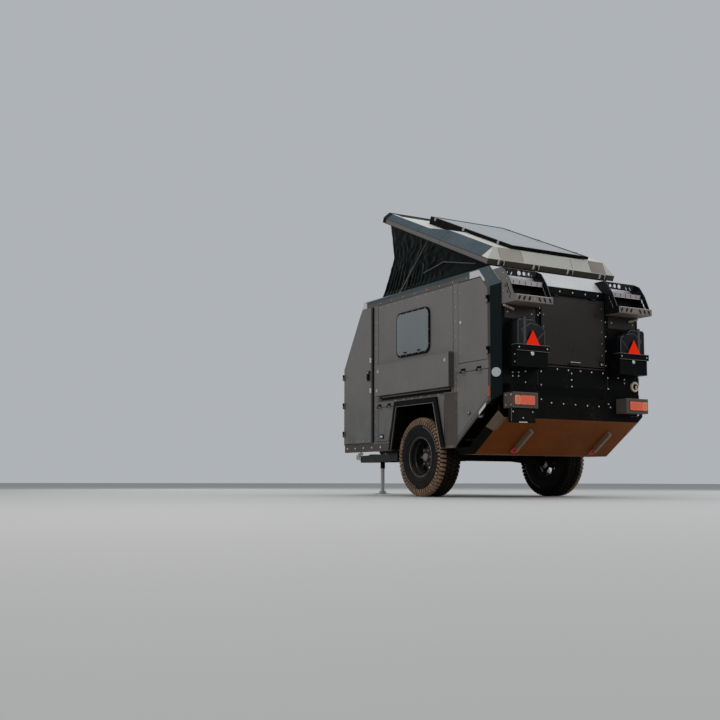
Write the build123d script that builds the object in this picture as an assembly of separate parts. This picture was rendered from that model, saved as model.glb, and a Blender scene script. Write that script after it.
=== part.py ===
from build123d import *
import math
import os

os.makedirs("parts", exist_ok=True)

# Off-road pop-top caravan trailer, parked on its wheels and its drawbar jack.
# Millimetres. +X points forward to the coupling, +Y to the left, +Z up, and the ground is z = 0.
# Every x below is measured from the axle. write() then moves the part so that its box is centred.
# A cut reaches past what it cuts by through, or by beyond where it is open on that side.
nose_x = 2985
tail_x = -1532
axle_x = -(nose_x + tail_x) / 2
clearance = 0.3
through = 10
beyond = 200

# Wheels and tyres
tyre_r = 420
tyre_w = 255
rim_r = 215
bead_r = 203
wheel_inset = 127
wheel_sides = 32
lug_h = 13
lug_count = 32
lug_len = 50
lug_w = 78
middle_lug_w = 70
middle_lug_len = 80
shoulder = 32
wall_ring_r = 300
wall_recess = 8
carcass_r = tyre_r - lug_h
lug_inset = 5
bead_in = 22
flange_w = 10
rim_windows = 8
rim_window_in_r = 104
rim_window_out_r = 168
rim_window_deg = 28
rim_t = 12
disc_t = 12
hub_r = 72
cap_hub_r = 46
hub_cap_y = 58
hub_wall = 6
stub_gap = 4
drum_r = 84
stub_r = 26
stub_out = 22

# Body outline on the side plane
body_half = 978
sill_z = 502
front_x = 1625
knee_z = 1500
roof_front_x = 1155
roof_z = 2243
roof_rear_x = -1070
slope_rear_x = -1240
slope_rear_z = 2050
rear_low_z = 940
belly_z = 535
belly_x = -700

# Bevelled edge frame that runs round the side plane, and the walls between
bevel = 78
roof_bevel = 35
edge_w = 34
roof_edge_w = 75
wall_t = 30
panel_t = 26
rail_strip = 28
rail_drop = 45
rail_end_in = 80
rail_end_ahead = 40

# Floor and frame
floor_z = 590
floor_t = 25
floor_bend = 60
rail_y = 420
rail_w = 60
member_w = 50
sill_w = 45
sill_end_gap = 20
rail_proud = 6
member_front_x = 900
member_rear_x = -480
outrigger_in = 100
outrigger_ahead = 70
outrigger_half = 20
outrigger_rise = 20

# Wheel arches
arch_front_x = 530
arch_front_top_x = 417
arch_rear_top_x = -302
arch_rear_x = -436
arch_top_z = 983
tub_t = 12
tub_in = 171
tub_foot = 8
notch_ahead = 40
notch_behind = 80
flare_w = 55
flare_proud = 26
flare_t = 10

# Doors and hatches in the side walls
gap = 6
front_door_rear_x = 940
latch_in = 66
latch_z = 1372
latch_half_w = 28
latch_half_h = 60
latch_t = 12
door_low_z = 603
door_proud = 20
upper_door_front_x = -719
upper_door_low_z = 1347
lock_in = 42
lock_z = 1752
lock_t = 8
lock_r = 12
lower_door_front_x = -680
lower_door_top_z = 1249
lower_door_rise = 58
hatch_front_x = 881
hatch_rear_x = 479
hatch_top_z = 992
hatch_low_z = 612
hatch_low_rear_x = 606
hatch_ease = 12
box_front_x = 805
box_rear_x = -640
box_low_z = 1120
box_top_z = 1470
box_proud = 68
box_wall = 18
box_margin = 40
box_hinge_in = 50
box_web_x = 400
box_web_half = 60
box_web_t = 8
seal_t = 2

# Hinges of the doors and hatches
knuckle_r = 9
hinge_len = 70
hinge_split = 0.5
leaf_w = 26
leaf_t = 5
hinge_out = 13
hinge_gap = 0.5
front_hinge_rise = 117
front_hinge_drop = 100
upper_hinge_rise = 83
upper_hinge_drop = 238
flap_hinge_in = 120
flap_rear_hinge_in = 180
hatch_hinge_in = 80
tail_hinge_y = 250

# Windows
window_front_x = 410
window_rear_x = -200
window_low_z = 1540
window_top_z = 1990
window_r = 60
window_rim = 22
window_proud = 14
window_lip = 5
window_t = 6

# Rear face
tail_half = 418
silver_low_z = 2110
tail_low_z = 1320
tail_top_z = 2010
tail_t = 28
tail_proud = 12
grip_out = 25
grip_half = 70
grip_rise = 4
grip_t = 12

# Lifting roof, hinged across the back of the roof deck
lift_deg = 23.7
lift_pin_in = 32
lift_pin_rise = 29
shell_rear_u = 14
shell_len = 2140
shell_step_in = 48
shell_low_n = 8
skirt_h = 57
chamfer_n = 176
front_n = 127
step_front_u = 1270
step_rear_u = 950
shell_t = 20
lift_lug_r = 9
lift_lug_half = 11
lift_ear_t = 5
lift_ear_n = 58
lift_hinge_y = (230, 680)
front_trim_t = 6
front_trim_len = 50
panel_half = 520
panel_rear_u = 120
panel_front_u = 1700
panel_frame_h = 30
panel_frame_w = 30
panel_lift = 8
panel_side_t = 4
panel_foot_in = 150
panel_foot_half = 20
solar_t = 14
solar_drop = 10

# Bellows under the lifting roof, and the upstand they close on
bellows_t = 5
bellows_waist_x = 780
bellows_waist_rise = 472
bellows_low_x = 1095
bellows_top_u = 2110
bellows_rear_u = 60
bellows_rear_gap = 20
bellows_cut = 50
curb_t = 12
curb_h = 28
curb_foot = 10
curb_rear_x = -960
curb_front_x = 1025

# Struts of the lifting roof
strut_in = 16
strut_room = 19
strut_low_x = 620
strut_low_rise = 24
strut_ear_half = 16
strut_ear_t = 4
strut_neck = 20
strut_top_u = 1195
strut_top_n = 20
strut_tube_r = 8
strut_rod_r = 4
strut_eye_r = 9
strut_eye_half = 5
strut_tube_len = 390
strut_rod_in = 30
strut_rod_gap = 10
strut_pin_r = 4

# Drawbar, coupling and jack
drawbar_half = 470
drawbar_meet_x = 2780
drawbar_w = 60
drawbar_h = 90
drawbar_root_x = 1180
nose_half = 30
nose_len = 160
nose_ahead = 20
nose_block_half = 60
ball_r = 25.3
coupling_wall = 12
cup_h = 32
cup_top = 30
coupling_z = 470
stem_r = 28
lever_len = 90
lever_ahead = 10
lever_half = 12
lever_h = 30
jack_x = 2330
jack_plate_len = 120
jack_plate_half = 170
jack_plate_t = 10
jack_tube_r = 30
jack_leg_r = 25
jack_low_z = 330
jack_top_z = 900
jack_leg_len = 560
jack_cap_t = 20
foot_r = 95
foot_t = 8
foot_boss_r = 45
foot_boss_h = 30
crank_pin_r = 8
crank_r = 7
crank_rise = 36
crank_len = 130
crank_grip_r = 9
crank_grip_h = 84

# Suspension
pivot_x = 330
pivot_z = 455
pivot_drop = 60
pivot_pin_r = 34
arm_in = 291
arm_w = 70
beam_w = 90
arm_root_half = 50
arm_root_up = 40
arm_tip_front = 40
arm_tip_rear = 60
arm_tip_up = 55
arm_tip_down = 60
arm_taper = 15
drum_w = 62

# Racks on the rear corners
rack_edge = 5
rack_hatch_gap = 17
rack_t = 5
rack_top_z = 2233
rack_low_z = 1873
rack_x = tail_x
channel_h = 66
rack_top_x = -1300
rack_bend_x = -1368
rack_bend_drop = 33
rack_elbow_x = -1442
rack_elbow_drop = 143
rack_foot_x = -1502
rack_foot_rise = 8
rack_slot_w = 16
rack_slot_h = 40
rack_slot_lean = 6
rack_slot_x = 40
rack_slot_rise = 105
rack_slot_step_x = 22
rack_slot_step_z = 45
channel_slot_w = 18
channel_slot_step = 52
channel_slot_lean = 7
cross_drop = 70
cross_hole_r = 20
cross_hole_step_r = 3
cross_hole_in = 60
cross_hole_step = 62
rack_lamp_d = 50
rack_lamp_drop = 148

# Jerry can carriers on the rear wall
carrier_half = 190
can_half = 165
can_depth = 150
can_top_z = 1735
can_corner = 25
can_room = 20
can_gap = 4
can_back_drop = 20
carrier_low_z = 1255
carrier_t = 4
carrier_wall_h = 150
carrier_reach = 62
can_slope_w = 125
can_slope_h = 105
band_out = 14
band_h = 62
band_t = 8
triangle_w = 165
triangle_h = 140
triangle_t = 8

# Rear lamps and number plate holder
lamp_edge = 15
lamp_box_w = 305
lamp_low_z = 862
lamp_top_z = 1010
lamp_depth = 143
lens_w = 250
lens_h = 96
lens_proud = 12
lens_r = 22
plate_w = 300
plate_low_z = 722
plate_depth = 40
plate_in = 20

# Belly plate and recovery arms
belly_top_z = 778
belly_low_z = 435
belly_low_x = -850
belly_edge = 20
belly_fold_w = 70
belly_fold_z = 62
belly_t = 5
belly_run = 260
belly_lap = 60
recovery_y = (450, -595)
recovery_start = 160
recovery_len = 300
recovery_t = 34
recovery_h = 48
shackle_eye_in = 18
shackle_pin_r = 9
shackle_rod = 8
shackle_reach = 68
shackle_half = 38
shackle_side_gap = 2

# Small fittings
bracket_t = 3
bracket_edge = 4
bracket_drop = 130
front_bracket_half = 70
rear_bracket_behind = 90
rear_bracket_ahead = 150
rail_end_from = 70
rail_end_to = 180
marker_w = 22
marker_h = 105
marker_t = 16
marker_z = 1027
reflector_r = 45
reflector_t = 8
reflector_z = 1211
cap_r = 53
cap_t = 16
cap_in = 64
cap_z = 1150


def block(x0, x1, y0, y1, z0, z1):
    """A box between two corners."""
    return Pos((x0 + x1) / 2, (y0 + y1) / 2, (z0 + z1) / 2) * Box(x1 - x0, y1 - y0, z1 - z0)


def outline_face(points, y):
    """A face on the plane of the given y, from (x, z) corners."""
    return Pos(0, y, 0) * (Plane.XZ * make_face(Polyline(*points, close=True)))


def prism(points, y0, y1):
    """A solid between two y, from (x, z) corners."""
    return extrude(outline_face(points, y0), amount=y1 - y0, dir=(0, 1, 0))


def rod(start, end, radius):
    """A round bar from one point to another."""
    start = Vector(*start)
    end = Vector(*end)
    plane = Plane(origin=start, z_dir=end - start)
    return extrude(plane * Circle(radius), amount=(end - start).length)


def across(x, z, y0, y1, radius):
    """A round bar across the trailer."""
    return rod((x, y0, z), (x, y1, z), radius)


def both(shape):
    """A left-hand shape and its mirror image on the right."""
    return [shape, mirror(shape, about=Plane.XZ)]


def rounded_prism(x0, x1, z0, z1, radius, y0, y1):
    """A rounded rectangle on the side plane, as a solid between two y."""
    sketch = Pos((x0 + x1) / 2, (z0 + z1) / 2) * RectangleRounded(x1 - x0, z1 - z0, radius)
    return extrude(Pos(0, y0, 0) * (Plane.XZ * sketch), amount=y1 - y0, dir=(0, 1, 0))


def shift_outline(points, offsets):
    """Moves each side of a closed anticlockwise (x, z) outline outwards by its own offset."""
    lines = []
    for i, (xa, za) in enumerate(points):
        xb, zb = points[(i + 1) % len(points)]
        length = math.hypot(xb - xa, zb - za)
        nx = (zb - za) / length
        nz = (xa - xb) / length
        lines.append((nx, nz, nx * xa + nz * za + offsets[i]))
    moved = []
    for i, (a2, b2, c2) in enumerate(lines):
        a1, b1, c1 = lines[i - 1]
        det = a1 * b2 - a2 * b1
        moved.append(((c1 * b2 - c2 * b1) / det, (a1 * c2 - a2 * c1) / det))
    return moved


def write(name, *shapes):
    """Writes one named piece, or like pieces that one body carries."""
    solids = [solid for shape in shapes for solid in shape.solids()]
    export_step(Pos(axle_x, 0, 0) * Compound(solids), f"parts/{name}.step")


def write_pair(name, shape):
    """Writes a left-hand piece and its mirror image as two nodes."""
    write(f"{name}_left", shape)
    write(f"{name}_right", mirror(shape, about=Plane.XZ))


def hinge(pos, along, out, to_door, fixed_drop, door_drop, length=hinge_len):
    """One butt hinge on the axis through pos: its fixed half, and its moving half.

    fixed_drop and door_drop are the depths of the two surfaces below the axis.
    """
    frame = Plane(origin=pos, x_dir=along, z_dir=out)
    side = 1 if (frame.y_dir - Vector(*to_door)).length < 1 else -1
    half = length / 2
    split = half - hinge_split * hinge_len

    def part(x0, x1, y0, y1, z0, z1):
        return block(x0, x1, min(side * y0, side * y1), max(side * y0, side * y1), z0, z1)

    fixed = part(-half, half, -leaf_w - knuckle_r, -knuckle_r, -fixed_drop, -fixed_drop + leaf_t)
    fixed += rod((split + hinge_gap, 0, 0), (half, 0, 0), knuckle_r)
    fixed += part(split + hinge_gap, half, -knuckle_r - 1, 0, -fixed_drop, 0)
    moving = rod((-half, 0, 0), (split, 0, 0), knuckle_r)
    if door_drop:
        moving += part(-half, half, knuckle_r + 2, leaf_w + knuckle_r, -door_drop, -door_drop + leaf_t)
        moving += part(-half, split, 0, knuckle_r + 3, -door_drop, 0)
    return frame * fixed, frame * moving


# The side plane's outline goes anticlockwise from the front foot, seen with +X to the right.
# Its sides are: front, front slope, roof, rear slope, rear, departure slope, belly step, sill.
side_outline = [
    (front_x, sill_z),
    (front_x, knee_z),
    (roof_front_x, roof_z),
    (roof_rear_x, roof_z),
    (slope_rear_x, slope_rear_z),
    (slope_rear_x, rear_low_z),
    (belly_x, belly_z),
    (belly_x + belly_z - sill_z, sill_z),
]
core_outline = shift_outline(side_outline, [bevel, bevel, roof_bevel, bevel, bevel, 0, 0, 0])
core_in = bevel - panel_t
core_inner = shift_outline(side_outline, [core_in, core_in, roof_bevel - panel_t, core_in, core_in, 0, 0, 0])
core_half = body_half - bevel
rear_face_x = slope_rear_x - bevel
deck_z = roof_z + roof_bevel
track_half = body_half - wheel_inset
tub_inner_y = track_half - tub_in
arm_in_y = track_half - arm_in
slope_top_x = core_outline[3][0]
slope_foot_z = core_outline[4][1]
door_top_z = roof_z - roof_edge_w
lift_x = roof_rear_x + lift_pin_in
lift_z = deck_z + lift_pin_rise
strut_low_z = deck_z + strut_low_rise
bellows_waist_z = deck_z + bellows_waist_rise
wall_in_y = body_half - wall_t
shell_half = core_half - shell_step_in
strut_y = shell_half - shell_t - strut_in
bellows_half = strut_y - strut_room
curb_half = bellows_half - bellows_t - curb_t
rack_out_y = core_half - rack_edge
rack_in_y = tail_half + rack_hatch_gap
rack_mid_y = (rack_in_y + rack_out_y) / 2
lamp_out_y = core_half - lamp_edge
lamp_in_y = lamp_out_y - lamp_box_w
plate_out_y = core_half
plate_in_y = plate_out_y - plate_w
belly_half = core_half - belly_edge
belly_fold_y = belly_half + belly_fold_w


def inner_outline(inset):
    """The side plane inside the edge frame, less an inset."""
    edge = -edge_w - inset
    return shift_outline(side_outline, [edge, edge, -roof_edge_w - inset, edge, edge, 0, 0, 0])


arch = [
    (arch_front_x, sill_z - through),
    (arch_front_top_x, arch_top_z),
    (arch_rear_top_x, arch_top_z),
    (arch_rear_x, sill_z - through),
]
arch_outer = shift_outline(arch, [tub_t, tub_t, tub_t, 0])
flare_outer = shift_outline(arch, [flare_w, flare_w, flare_w, 0])
flare_inner = shift_outline(arch, [flare_w - flare_t, flare_w - flare_t, flare_w - flare_t, 0])
hatch_outline = [
    (hatch_front_x, hatch_low_z),
    (hatch_front_x, hatch_top_z),
    (hatch_rear_x, hatch_top_z),
    (hatch_low_rear_x, hatch_low_z),
]


def side_panel(x0, x1, z0, z1, y0, y1, grow=0, rise=0):
    """The part of the side plane between two x and two z, inside the edge frame.

    grow widens it into the opening that it closes. rise lifts its foot off the departure slope.
    """
    edge = -edge_w - gap + grow
    limits = [edge, edge, -roof_edge_w - gap + grow, edge, edge, -rise + grow, -rise + grow, 0]
    zone = block(x0 - grow, x1 + grow, y0, y1, z0 - grow, z1 + grow)
    return prism(shift_outline(side_outline, limits), y0, y1) & zone


# Doors by the zone of the side plane that they fill: x from, x to, z from, z to, rise
door_zones = {
    "front_door": (front_door_rear_x, front_x, door_low_z, roof_z, 0),
    "upper_door": (slope_rear_x, upper_door_front_x, upper_door_low_z, roof_z, 0),
    "lower_door": (slope_rear_x, lower_door_front_x, sill_z, lower_door_top_z, lower_door_rise),
}

# Side walls with the arch, the doors' openings, the window and the box's opening cut through
wall = prism(inner_outline(0), wall_in_y, body_half)
wall -= prism(arch_outer, wall_in_y - 1, body_half + 1)
for x0, x1, z0, z1, rise in door_zones.values():
    wall -= side_panel(x0, x1, z0, z1, wall_in_y - 1, body_half + 1, gap, rise)
wall -= prism(shift_outline(hatch_outline, [gap] * 4), wall_in_y - 1, body_half + 1)
wall -= rounded_prism(
    window_rear_x, window_front_x, window_low_z, window_top_z, window_r, wall_in_y - 1, body_half + 1
)
wall -= block(
    box_rear_x + box_margin, box_front_x - box_margin, wall_in_y - 1, body_half + 1,
    box_low_z + box_margin, box_top_z - box_margin,
)
wall -= block(arch_front_x, front_x + through, wall_in_y - 1, body_half + 1, sill_z - through, floor_z)
departure_cut = shift_outline(side_outline, [beyond] * 5 + [-rail_strip, -rail_strip, beyond])
wall &= prism(departure_cut, wall_in_y - 1, body_half + 1)
write_pair("side_wall", wall)

# Edge frame: the bevelled ring round each side, cut into its roof rail, front post and rear post
ring = loft([outline_face(core_outline, core_half), outline_face(side_outline, body_half)], ruled=True)
ring -= prism(inner_outline(0), core_half - 1, body_half + 1)
rail_low_z = door_top_z - rail_drop
rail_x0 = slope_rear_x + rail_end_in
rail_x1 = roof_front_x + rail_end_ahead
rail_zone = block(rail_x0, rail_x1, 0, body_half + 1, rail_low_z, deck_z + 1)
front_zone = block(roof_front_x - beyond, front_x + bevel, 0, body_half + 1, floor_z, deck_z)
rear_zone = block(rear_face_x, roof_rear_x + beyond, 0, body_half + 1, rear_low_z - beyond, deck_z)
write("roof_rails", *both(ring & rail_zone))
write("front_posts", *both((ring - rail_zone) & front_zone))
write("rear_posts", *both((ring - rail_zone) & rear_zone))

# Front wall, roof deck, rear slope and rear wall between the two edge frames
core = prism(core_outline, -core_half, core_half) - prism(core_inner, -core_half - 1, core_half + 1)
deck_front_x = core_outline[2][0] - panel_t
front_zone = block(deck_front_x, front_x + bevel, -core_half, core_half, floor_z + floor_t, deck_z)
write("front_wall", core & front_zone)
deck = core & block(slope_top_x, deck_front_x, -core_half, core_half, roof_z - panel_t, deck_z)
deck -= block(curb_rear_x, curb_front_x, -curb_half, curb_half, roof_z - panel_t - 1, deck_z + 1)
curb = block(curb_rear_x - curb_t, curb_front_x + curb_t, -curb_half - curb_t, curb_half + curb_t,
             roof_z + curb_foot, deck_z + curb_h)
curb -= block(curb_rear_x, curb_front_x, -curb_half, curb_half, roof_z, deck_z + curb_h + 1)
deck += curb
ear_in_y = strut_y + strut_eye_half + 1
ear_x0 = strut_low_x - strut_ear_half
ear_x1 = strut_low_x + strut_ear_half
ear = block(ear_x0, ear_x1, ear_in_y, ear_in_y + strut_ear_t, deck_z - 1, strut_low_z + strut_eye_r)
ear += across(strut_low_x, strut_low_z, strut_y - strut_eye_half, ear_in_y + strut_ear_t / 2, strut_pin_r)
deck += both(ear)
lift_lugs_y = [side * y for y in lift_hinge_y for side in (-1, 1)]
for y in lift_lugs_y:
    y0 = y - lift_lug_half
    y1 = y + lift_lug_half
    deck += block(lift_x - lift_lug_r, lift_x + lift_lug_r, y0, y1, deck_z - 1, lift_z)
    deck += across(lift_x, lift_z, y0, y1, lift_lug_r)
write("roof_deck", deck)
rear_zone = block(rear_face_x, slope_top_x, -core_half, core_half, silver_low_z, deck_z)
write("rear_slope", core & rear_zone)
rear = core & block(rear_face_x, slope_top_x, -core_half, core_half, belly_top_z + belly_lap, silver_low_z)
rear -= block(
    rear_face_x - through, rear_face_x + panel_t + through, -tail_half - gap, tail_half + gap,
    tail_low_z - gap, tail_top_z + gap,
)
cap_y = cap_in - core_half
rear += rod((rear_face_x - cap_t, cap_y, cap_z), (rear_face_x + 1, cap_y, cap_z), cap_r)
write("rear_wall", rear)

# Floor: flat, then rising with the departure slope, with notches for the wheel tubs
departure = (rear_low_z - belly_z) / (belly_x - slope_rear_x)
floor_rear_x = belly_x + floor_bend
floor_end_x = rear_face_x + panel_t
floor_end_z = floor_z + departure * (floor_rear_x - floor_end_x)
floor_path = [
    (front_x + core_in, floor_z),
    (front_x + core_in, floor_z + floor_t),
    (floor_rear_x, floor_z + floor_t),
    (floor_end_x, floor_end_z + floor_t),
    (floor_end_x, floor_end_z),
    (floor_rear_x, floor_z),
]
floor = prism(floor_path, -core_half, core_half)
notch = block(
    arch_rear_x - notch_behind, arch_front_x + notch_ahead, tub_inner_y - tub_t, body_half, 0, 2 * floor_z
)
floor -= notch
floor -= mirror(notch, about=Plane.XZ)
write("floor_panel", floor)

# Wheel tubs: arch-shaped boxes, open below and to the outside
tub_low_z = sill_z + tub_foot
tub = prism(arch_outer, tub_inner_y - tub_t, body_half) - prism(arch, tub_inner_y, body_half + 1)
tub -= block(arch_rear_x - beyond, arch_front_x + beyond, 0, body_half + 1, 0, tub_low_z)
write("wheel_tubs", *both(tub))

# Black arch flares, proud of the side wall, hollow behind
flare = prism(flare_outer, body_half, body_half + flare_proud)
flare -= prism(arch, body_half - 1, body_half + flare_proud + 1)
flare -= prism(flare_inner, body_half - 1, body_half + flare_proud - flare_t)
flare -= block(arch_rear_x - beyond, arch_front_x + beyond, 0, body_half + beyond, 0, tub_low_z)
write("arch_flares", *both(flare))

# Doors and hatches. Each hinge gives its fixed half to fixed_hinges.
fixed_hinges = []


def hang(shape, places, along, out, to_door, fixed_drop, door_drop):
    """Adds a hinge at each place to a door, and keeps the fixed halves."""
    for place in places:
        fixed, moving = hinge(place, along, out, to_door, fixed_drop, door_drop)
        shape += moving
        fixed_hinges.append(fixed)
    return shape


left = (0, 1, 0)
x0, x1, z0, z1, rise = door_zones["front_door"]
door_face_y = body_half + door_proud
door = side_panel(x0, x1, z0, z1, wall_in_y, door_face_y)
door_hinge_x = front_x - edge_w - gap / 2
door_hinge_y = door_face_y + hinge_out
hinge_low_z = door_low_z + front_hinge_rise
hinge_high_z = knee_z - front_hinge_drop
door_hinge_z = (hinge_low_z, (hinge_low_z + hinge_high_z) / 2, hinge_high_z)
places = [(door_hinge_x, door_hinge_y, z) for z in door_hinge_z]
door = hang(door, places, (0, 0, 1), left, (-1, 0, 0), door_proud + hinge_out, hinge_out)
latch_x = front_door_rear_x + latch_in
door += block(
    latch_x - latch_half_w, latch_x + latch_half_w, door_face_y - 1, door_face_y + latch_t,
    latch_z - latch_half_h, latch_z + latch_half_h,
)
write_pair("front_door", door)

x0, x1, z0, z1, rise = door_zones["upper_door"]
upper = side_panel(x0, x1, z0, z1, wall_in_y, body_half)
upper_hinge_x = slope_rear_x + edge_w + gap / 2
upper_hinge_y = body_half + hinge_out
upper_hinge_z = (upper_door_low_z + upper_hinge_rise, door_top_z - upper_hinge_drop)
places = [(upper_hinge_x, upper_hinge_y, z) for z in upper_hinge_z]
upper = hang(upper, places, (0, 0, 1), left, (1, 0, 0), hinge_out, hinge_out)
upper += across(upper_door_front_x - lock_in, lock_z, body_half - 1, body_half + lock_t, lock_r)
write_pair("upper_door", upper)

x0, x1, z0, z1, rise = door_zones["lower_door"]
lower = side_panel(x0, x1, z0, z1, wall_in_y, body_half, 0, rise)
lower_hinge_z = lower_door_top_z + gap / 2
flap_hinge_x = (lower_door_front_x - flap_hinge_in, slope_rear_x + flap_rear_hinge_in)
places = [(x, body_half + hinge_out, lower_hinge_z) for x in flap_hinge_x]
lower = hang(lower, places, (1, 0, 0), left, (0, 0, -1), hinge_out, hinge_out)
write_pair("lower_door", lower)

small = prism(shift_outline(hatch_outline, [0, 0, -hatch_ease, 0]), wall_in_y, body_half)
small_hinge_z = hatch_top_z + gap / 2
hatch_hinge_x = (hatch_front_x - hatch_hinge_in, hatch_rear_x + flap_hinge_in)
places = [(x, body_half + hinge_out, small_hinge_z) for x in hatch_hinge_x]
small = hang(small, places, (1, 0, 0), left, (0, 0, -1), hinge_out, hinge_out)
write_pair("small_hatch", small)

box_face_y = body_half + box_proud
box_hinge_z = box_low_z - hinge_out
tray = block(box_rear_x, box_front_x, body_half + seal_t, box_face_y, box_low_z, box_top_z)
tray -= block(
    box_rear_x + box_wall, box_front_x - box_wall, body_half, box_face_y - box_wall,
    box_low_z + box_wall, box_top_z - box_wall,
)
box_mid_x = (box_rear_x + box_front_x) / 2
box_hinge_y = body_half + hinge_out
box_hinge_at = (box_mid_x, box_hinge_y, box_hinge_z)
box_hinge_len = box_front_x - box_rear_x - 2 * box_hinge_in
fixed, moving = hinge(box_hinge_at, (1, 0, 0), left, (0, 0, 1), hinge_out, 0, box_hinge_len)
fixed_hinges.append(fixed)
for x in (box_mid_x - box_web_x, box_mid_x + box_web_x):
    moving += block(
        x - box_web_half, x + box_web_half, box_hinge_y - box_web_t / 2, box_hinge_y + box_web_t / 2,
        box_hinge_z, box_low_z + 1,
    )
tray += moving
write_pair("side_box", tray)

# Windows: a pane that stands proud, in a moulded frame that seats in the wall
frame_ring = rounded_prism(
    window_rear_x - window_rim, window_front_x + window_rim, window_low_z - window_rim,
    window_top_z + window_rim, window_r + window_rim, body_half, body_half + window_proud,
)
frame_ring += rounded_prism(
    window_rear_x + 1, window_front_x - 1, window_low_z + 1, window_top_z - 1, window_r,
    wall_in_y, body_half + window_lip,
)
frame_ring -= rounded_prism(
    window_rear_x + window_rim, window_front_x - window_rim, window_low_z + window_rim,
    window_top_z - window_rim, window_r - window_rim, wall_in_y - 1, body_half + beyond,
)
write("window_frames", *both(frame_ring))
pane = rounded_prism(
    window_rear_x, window_front_x, window_low_z, window_top_z, window_r,
    body_half + window_proud, body_half + window_proud + window_t,
)
write("window_panes", *both(pane))

# Tail hatch in the rear wall, hinged along its top
hatch_skin_x = rear_face_x - tail_proud
tail = block(hatch_skin_x, hatch_skin_x + tail_t, -tail_half, tail_half, tail_low_z, tail_top_z)
grip_z = tail_low_z + grip_rise
tail += block(hatch_skin_x - grip_out, hatch_skin_x, -grip_half, grip_half, grip_z, grip_z + grip_t)
tail_hinge_x = hatch_skin_x - hinge_out
tail_hinge_z = tail_top_z + gap / 2
all_fixed = [half for fixed in fixed_hinges for half in both(fixed)]
for y in (-tail_hinge_y, tail_hinge_y):
    place = (tail_hinge_x, y, tail_hinge_z)
    fixed, moving = hinge(place, (0, 1, 0), (-1, 0, 0), (0, 0, -1), tail_proud + hinge_out, hinge_out)
    tail += moving
    all_fixed.append(fixed)
write("tail_hatch", tail)
write("door_hinges", *all_fixed)

# Chassis: two long rails with crossmembers
frame = block(belly_x, front_x, rail_y, rail_y + rail_w, sill_z, floor_z)
frame += mirror(frame, about=Plane.XZ)
for x in (front_x - member_w, member_front_x, pivot_x, member_rear_x, belly_x + member_w / 2):
    frame += block(x - member_w / 2, x + member_w / 2, -rail_y, rail_y, sill_z, floor_z)
sill_y = body_half - sill_w
for x in (front_x - outrigger_in, arch_front_x + outrigger_ahead):
    frame += block(x - outrigger_half, x + outrigger_half, -sill_y, sill_y, sill_z + outrigger_rise, floor_z)
write("chassis_frame", frame)

# Outer rails: the sill ahead of the arch, and the rail along the departure slope
sill = block(arch_front_x + sill_end_gap, front_x - sill_end_gap, sill_y, body_half, sill_z, floor_z)
rail_out_y = body_half + rail_proud
departure_rail = prism(side_outline, sill_y, rail_out_y) - prism(departure_cut, sill_y - 1, rail_out_y + 1)
departure_rail &= block(slope_rear_x + edge_w + gap, arch_rear_x - tub_t, 0, rail_out_y, sill_z, rear_low_z)
write("outer_rails", *both(sill), *both(departure_rail))

# Drawbar: two arms that meet at the nose
arm_len = math.hypot(drawbar_meet_x - drawbar_root_x, drawbar_half - nose_half)
arm_turn = math.degrees(math.atan2(nose_half - drawbar_half, drawbar_meet_x - drawbar_root_x))
drawbar_z = sill_z - drawbar_h
drawbar = Pos(drawbar_root_x, drawbar_half, drawbar_z) * (
    Rot(0, 0, arm_turn) * Box(arm_len, drawbar_w, drawbar_h, align=(Align.MIN, Align.CENTER, Align.MIN))
)
drawbar += mirror(drawbar, about=Plane.XZ)
nose_end_x = drawbar_meet_x + nose_ahead
drawbar += block(drawbar_meet_x - nose_len, nose_end_x, -nose_block_half, nose_block_half, drawbar_z, sill_z)
drawbar += block(
    jack_x - jack_plate_len / 2, jack_x + jack_plate_len / 2, -jack_plate_half, jack_plate_half,
    sill_z - 1, sill_z + jack_plate_t,
)
drawbar -= Pos(jack_x, 0, sill_z) * Cylinder(jack_tube_r, 2 * drawbar_h)
write("drawbar", drawbar)

# Coupling head with a cup for a 50 mm tow ball
cup_x = nose_x - ball_r - coupling_wall
cup_low_z = coupling_z - cup_h / 2
cup = Pos(cup_x, 0, cup_low_z) * Cylinder(
    ball_r + coupling_wall, cup_h + cup_top, align=(Align.CENTER, Align.CENTER, Align.MIN)
)
cup += rod((nose_end_x, 0, coupling_z), (cup_x - ball_r - 2, 0, coupling_z), stem_r)
cup -= Pos(cup_x, 0, cup_low_z) * Cylinder(ball_r, cup_h, align=(Align.CENTER, Align.CENTER, Align.MIN))
cup_top_z = cup_low_z + cup_h + cup_top
cup += block(
    cup_x - lever_len, cup_x + lever_ahead, -lever_half, lever_half, cup_top_z - 2, cup_top_z + lever_h
)
write("coupling_head", cup)

# Jack: an outer tube held by the drawbar's deck plate, and a leg with a round foot
on_base = (Align.CENTER, Align.CENTER, Align.MIN)
tube = Pos(jack_x, 0, jack_low_z) * Cylinder(jack_tube_r, jack_top_z - jack_low_z, align=on_base)
bore = Cylinder(jack_leg_r + clearance, jack_top_z - jack_low_z, align=on_base)
tube -= Pos(jack_x, 0, jack_low_z - jack_cap_t) * bore
crank_z = jack_top_z + crank_rise
grip_x = jack_x - crank_len + crank_grip_r / 2
crank = rod((jack_x, 0, jack_top_z - 1), (jack_x, 0, crank_z + crank_r / 2), crank_pin_r)
crank += rod((jack_x + crank_pin_r, 0, crank_z), (jack_x - crank_len, 0, crank_z), crank_r)
crank += rod((grip_x, 0, crank_z), (grip_x, 0, crank_z + crank_grip_h), crank_grip_r)
write("jack_tube", tube + crank)
leg = Pos(jack_x, 0, 0) * Cylinder(foot_r, foot_t, align=on_base)
leg += Pos(jack_x, 0, 0) * Cylinder(foot_boss_r, foot_t + foot_boss_h, align=on_base)
leg += Pos(jack_x, 0, 0) * Cylinder(jack_leg_r, jack_leg_len, align=on_base)
write("jack_leg", leg)

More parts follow.
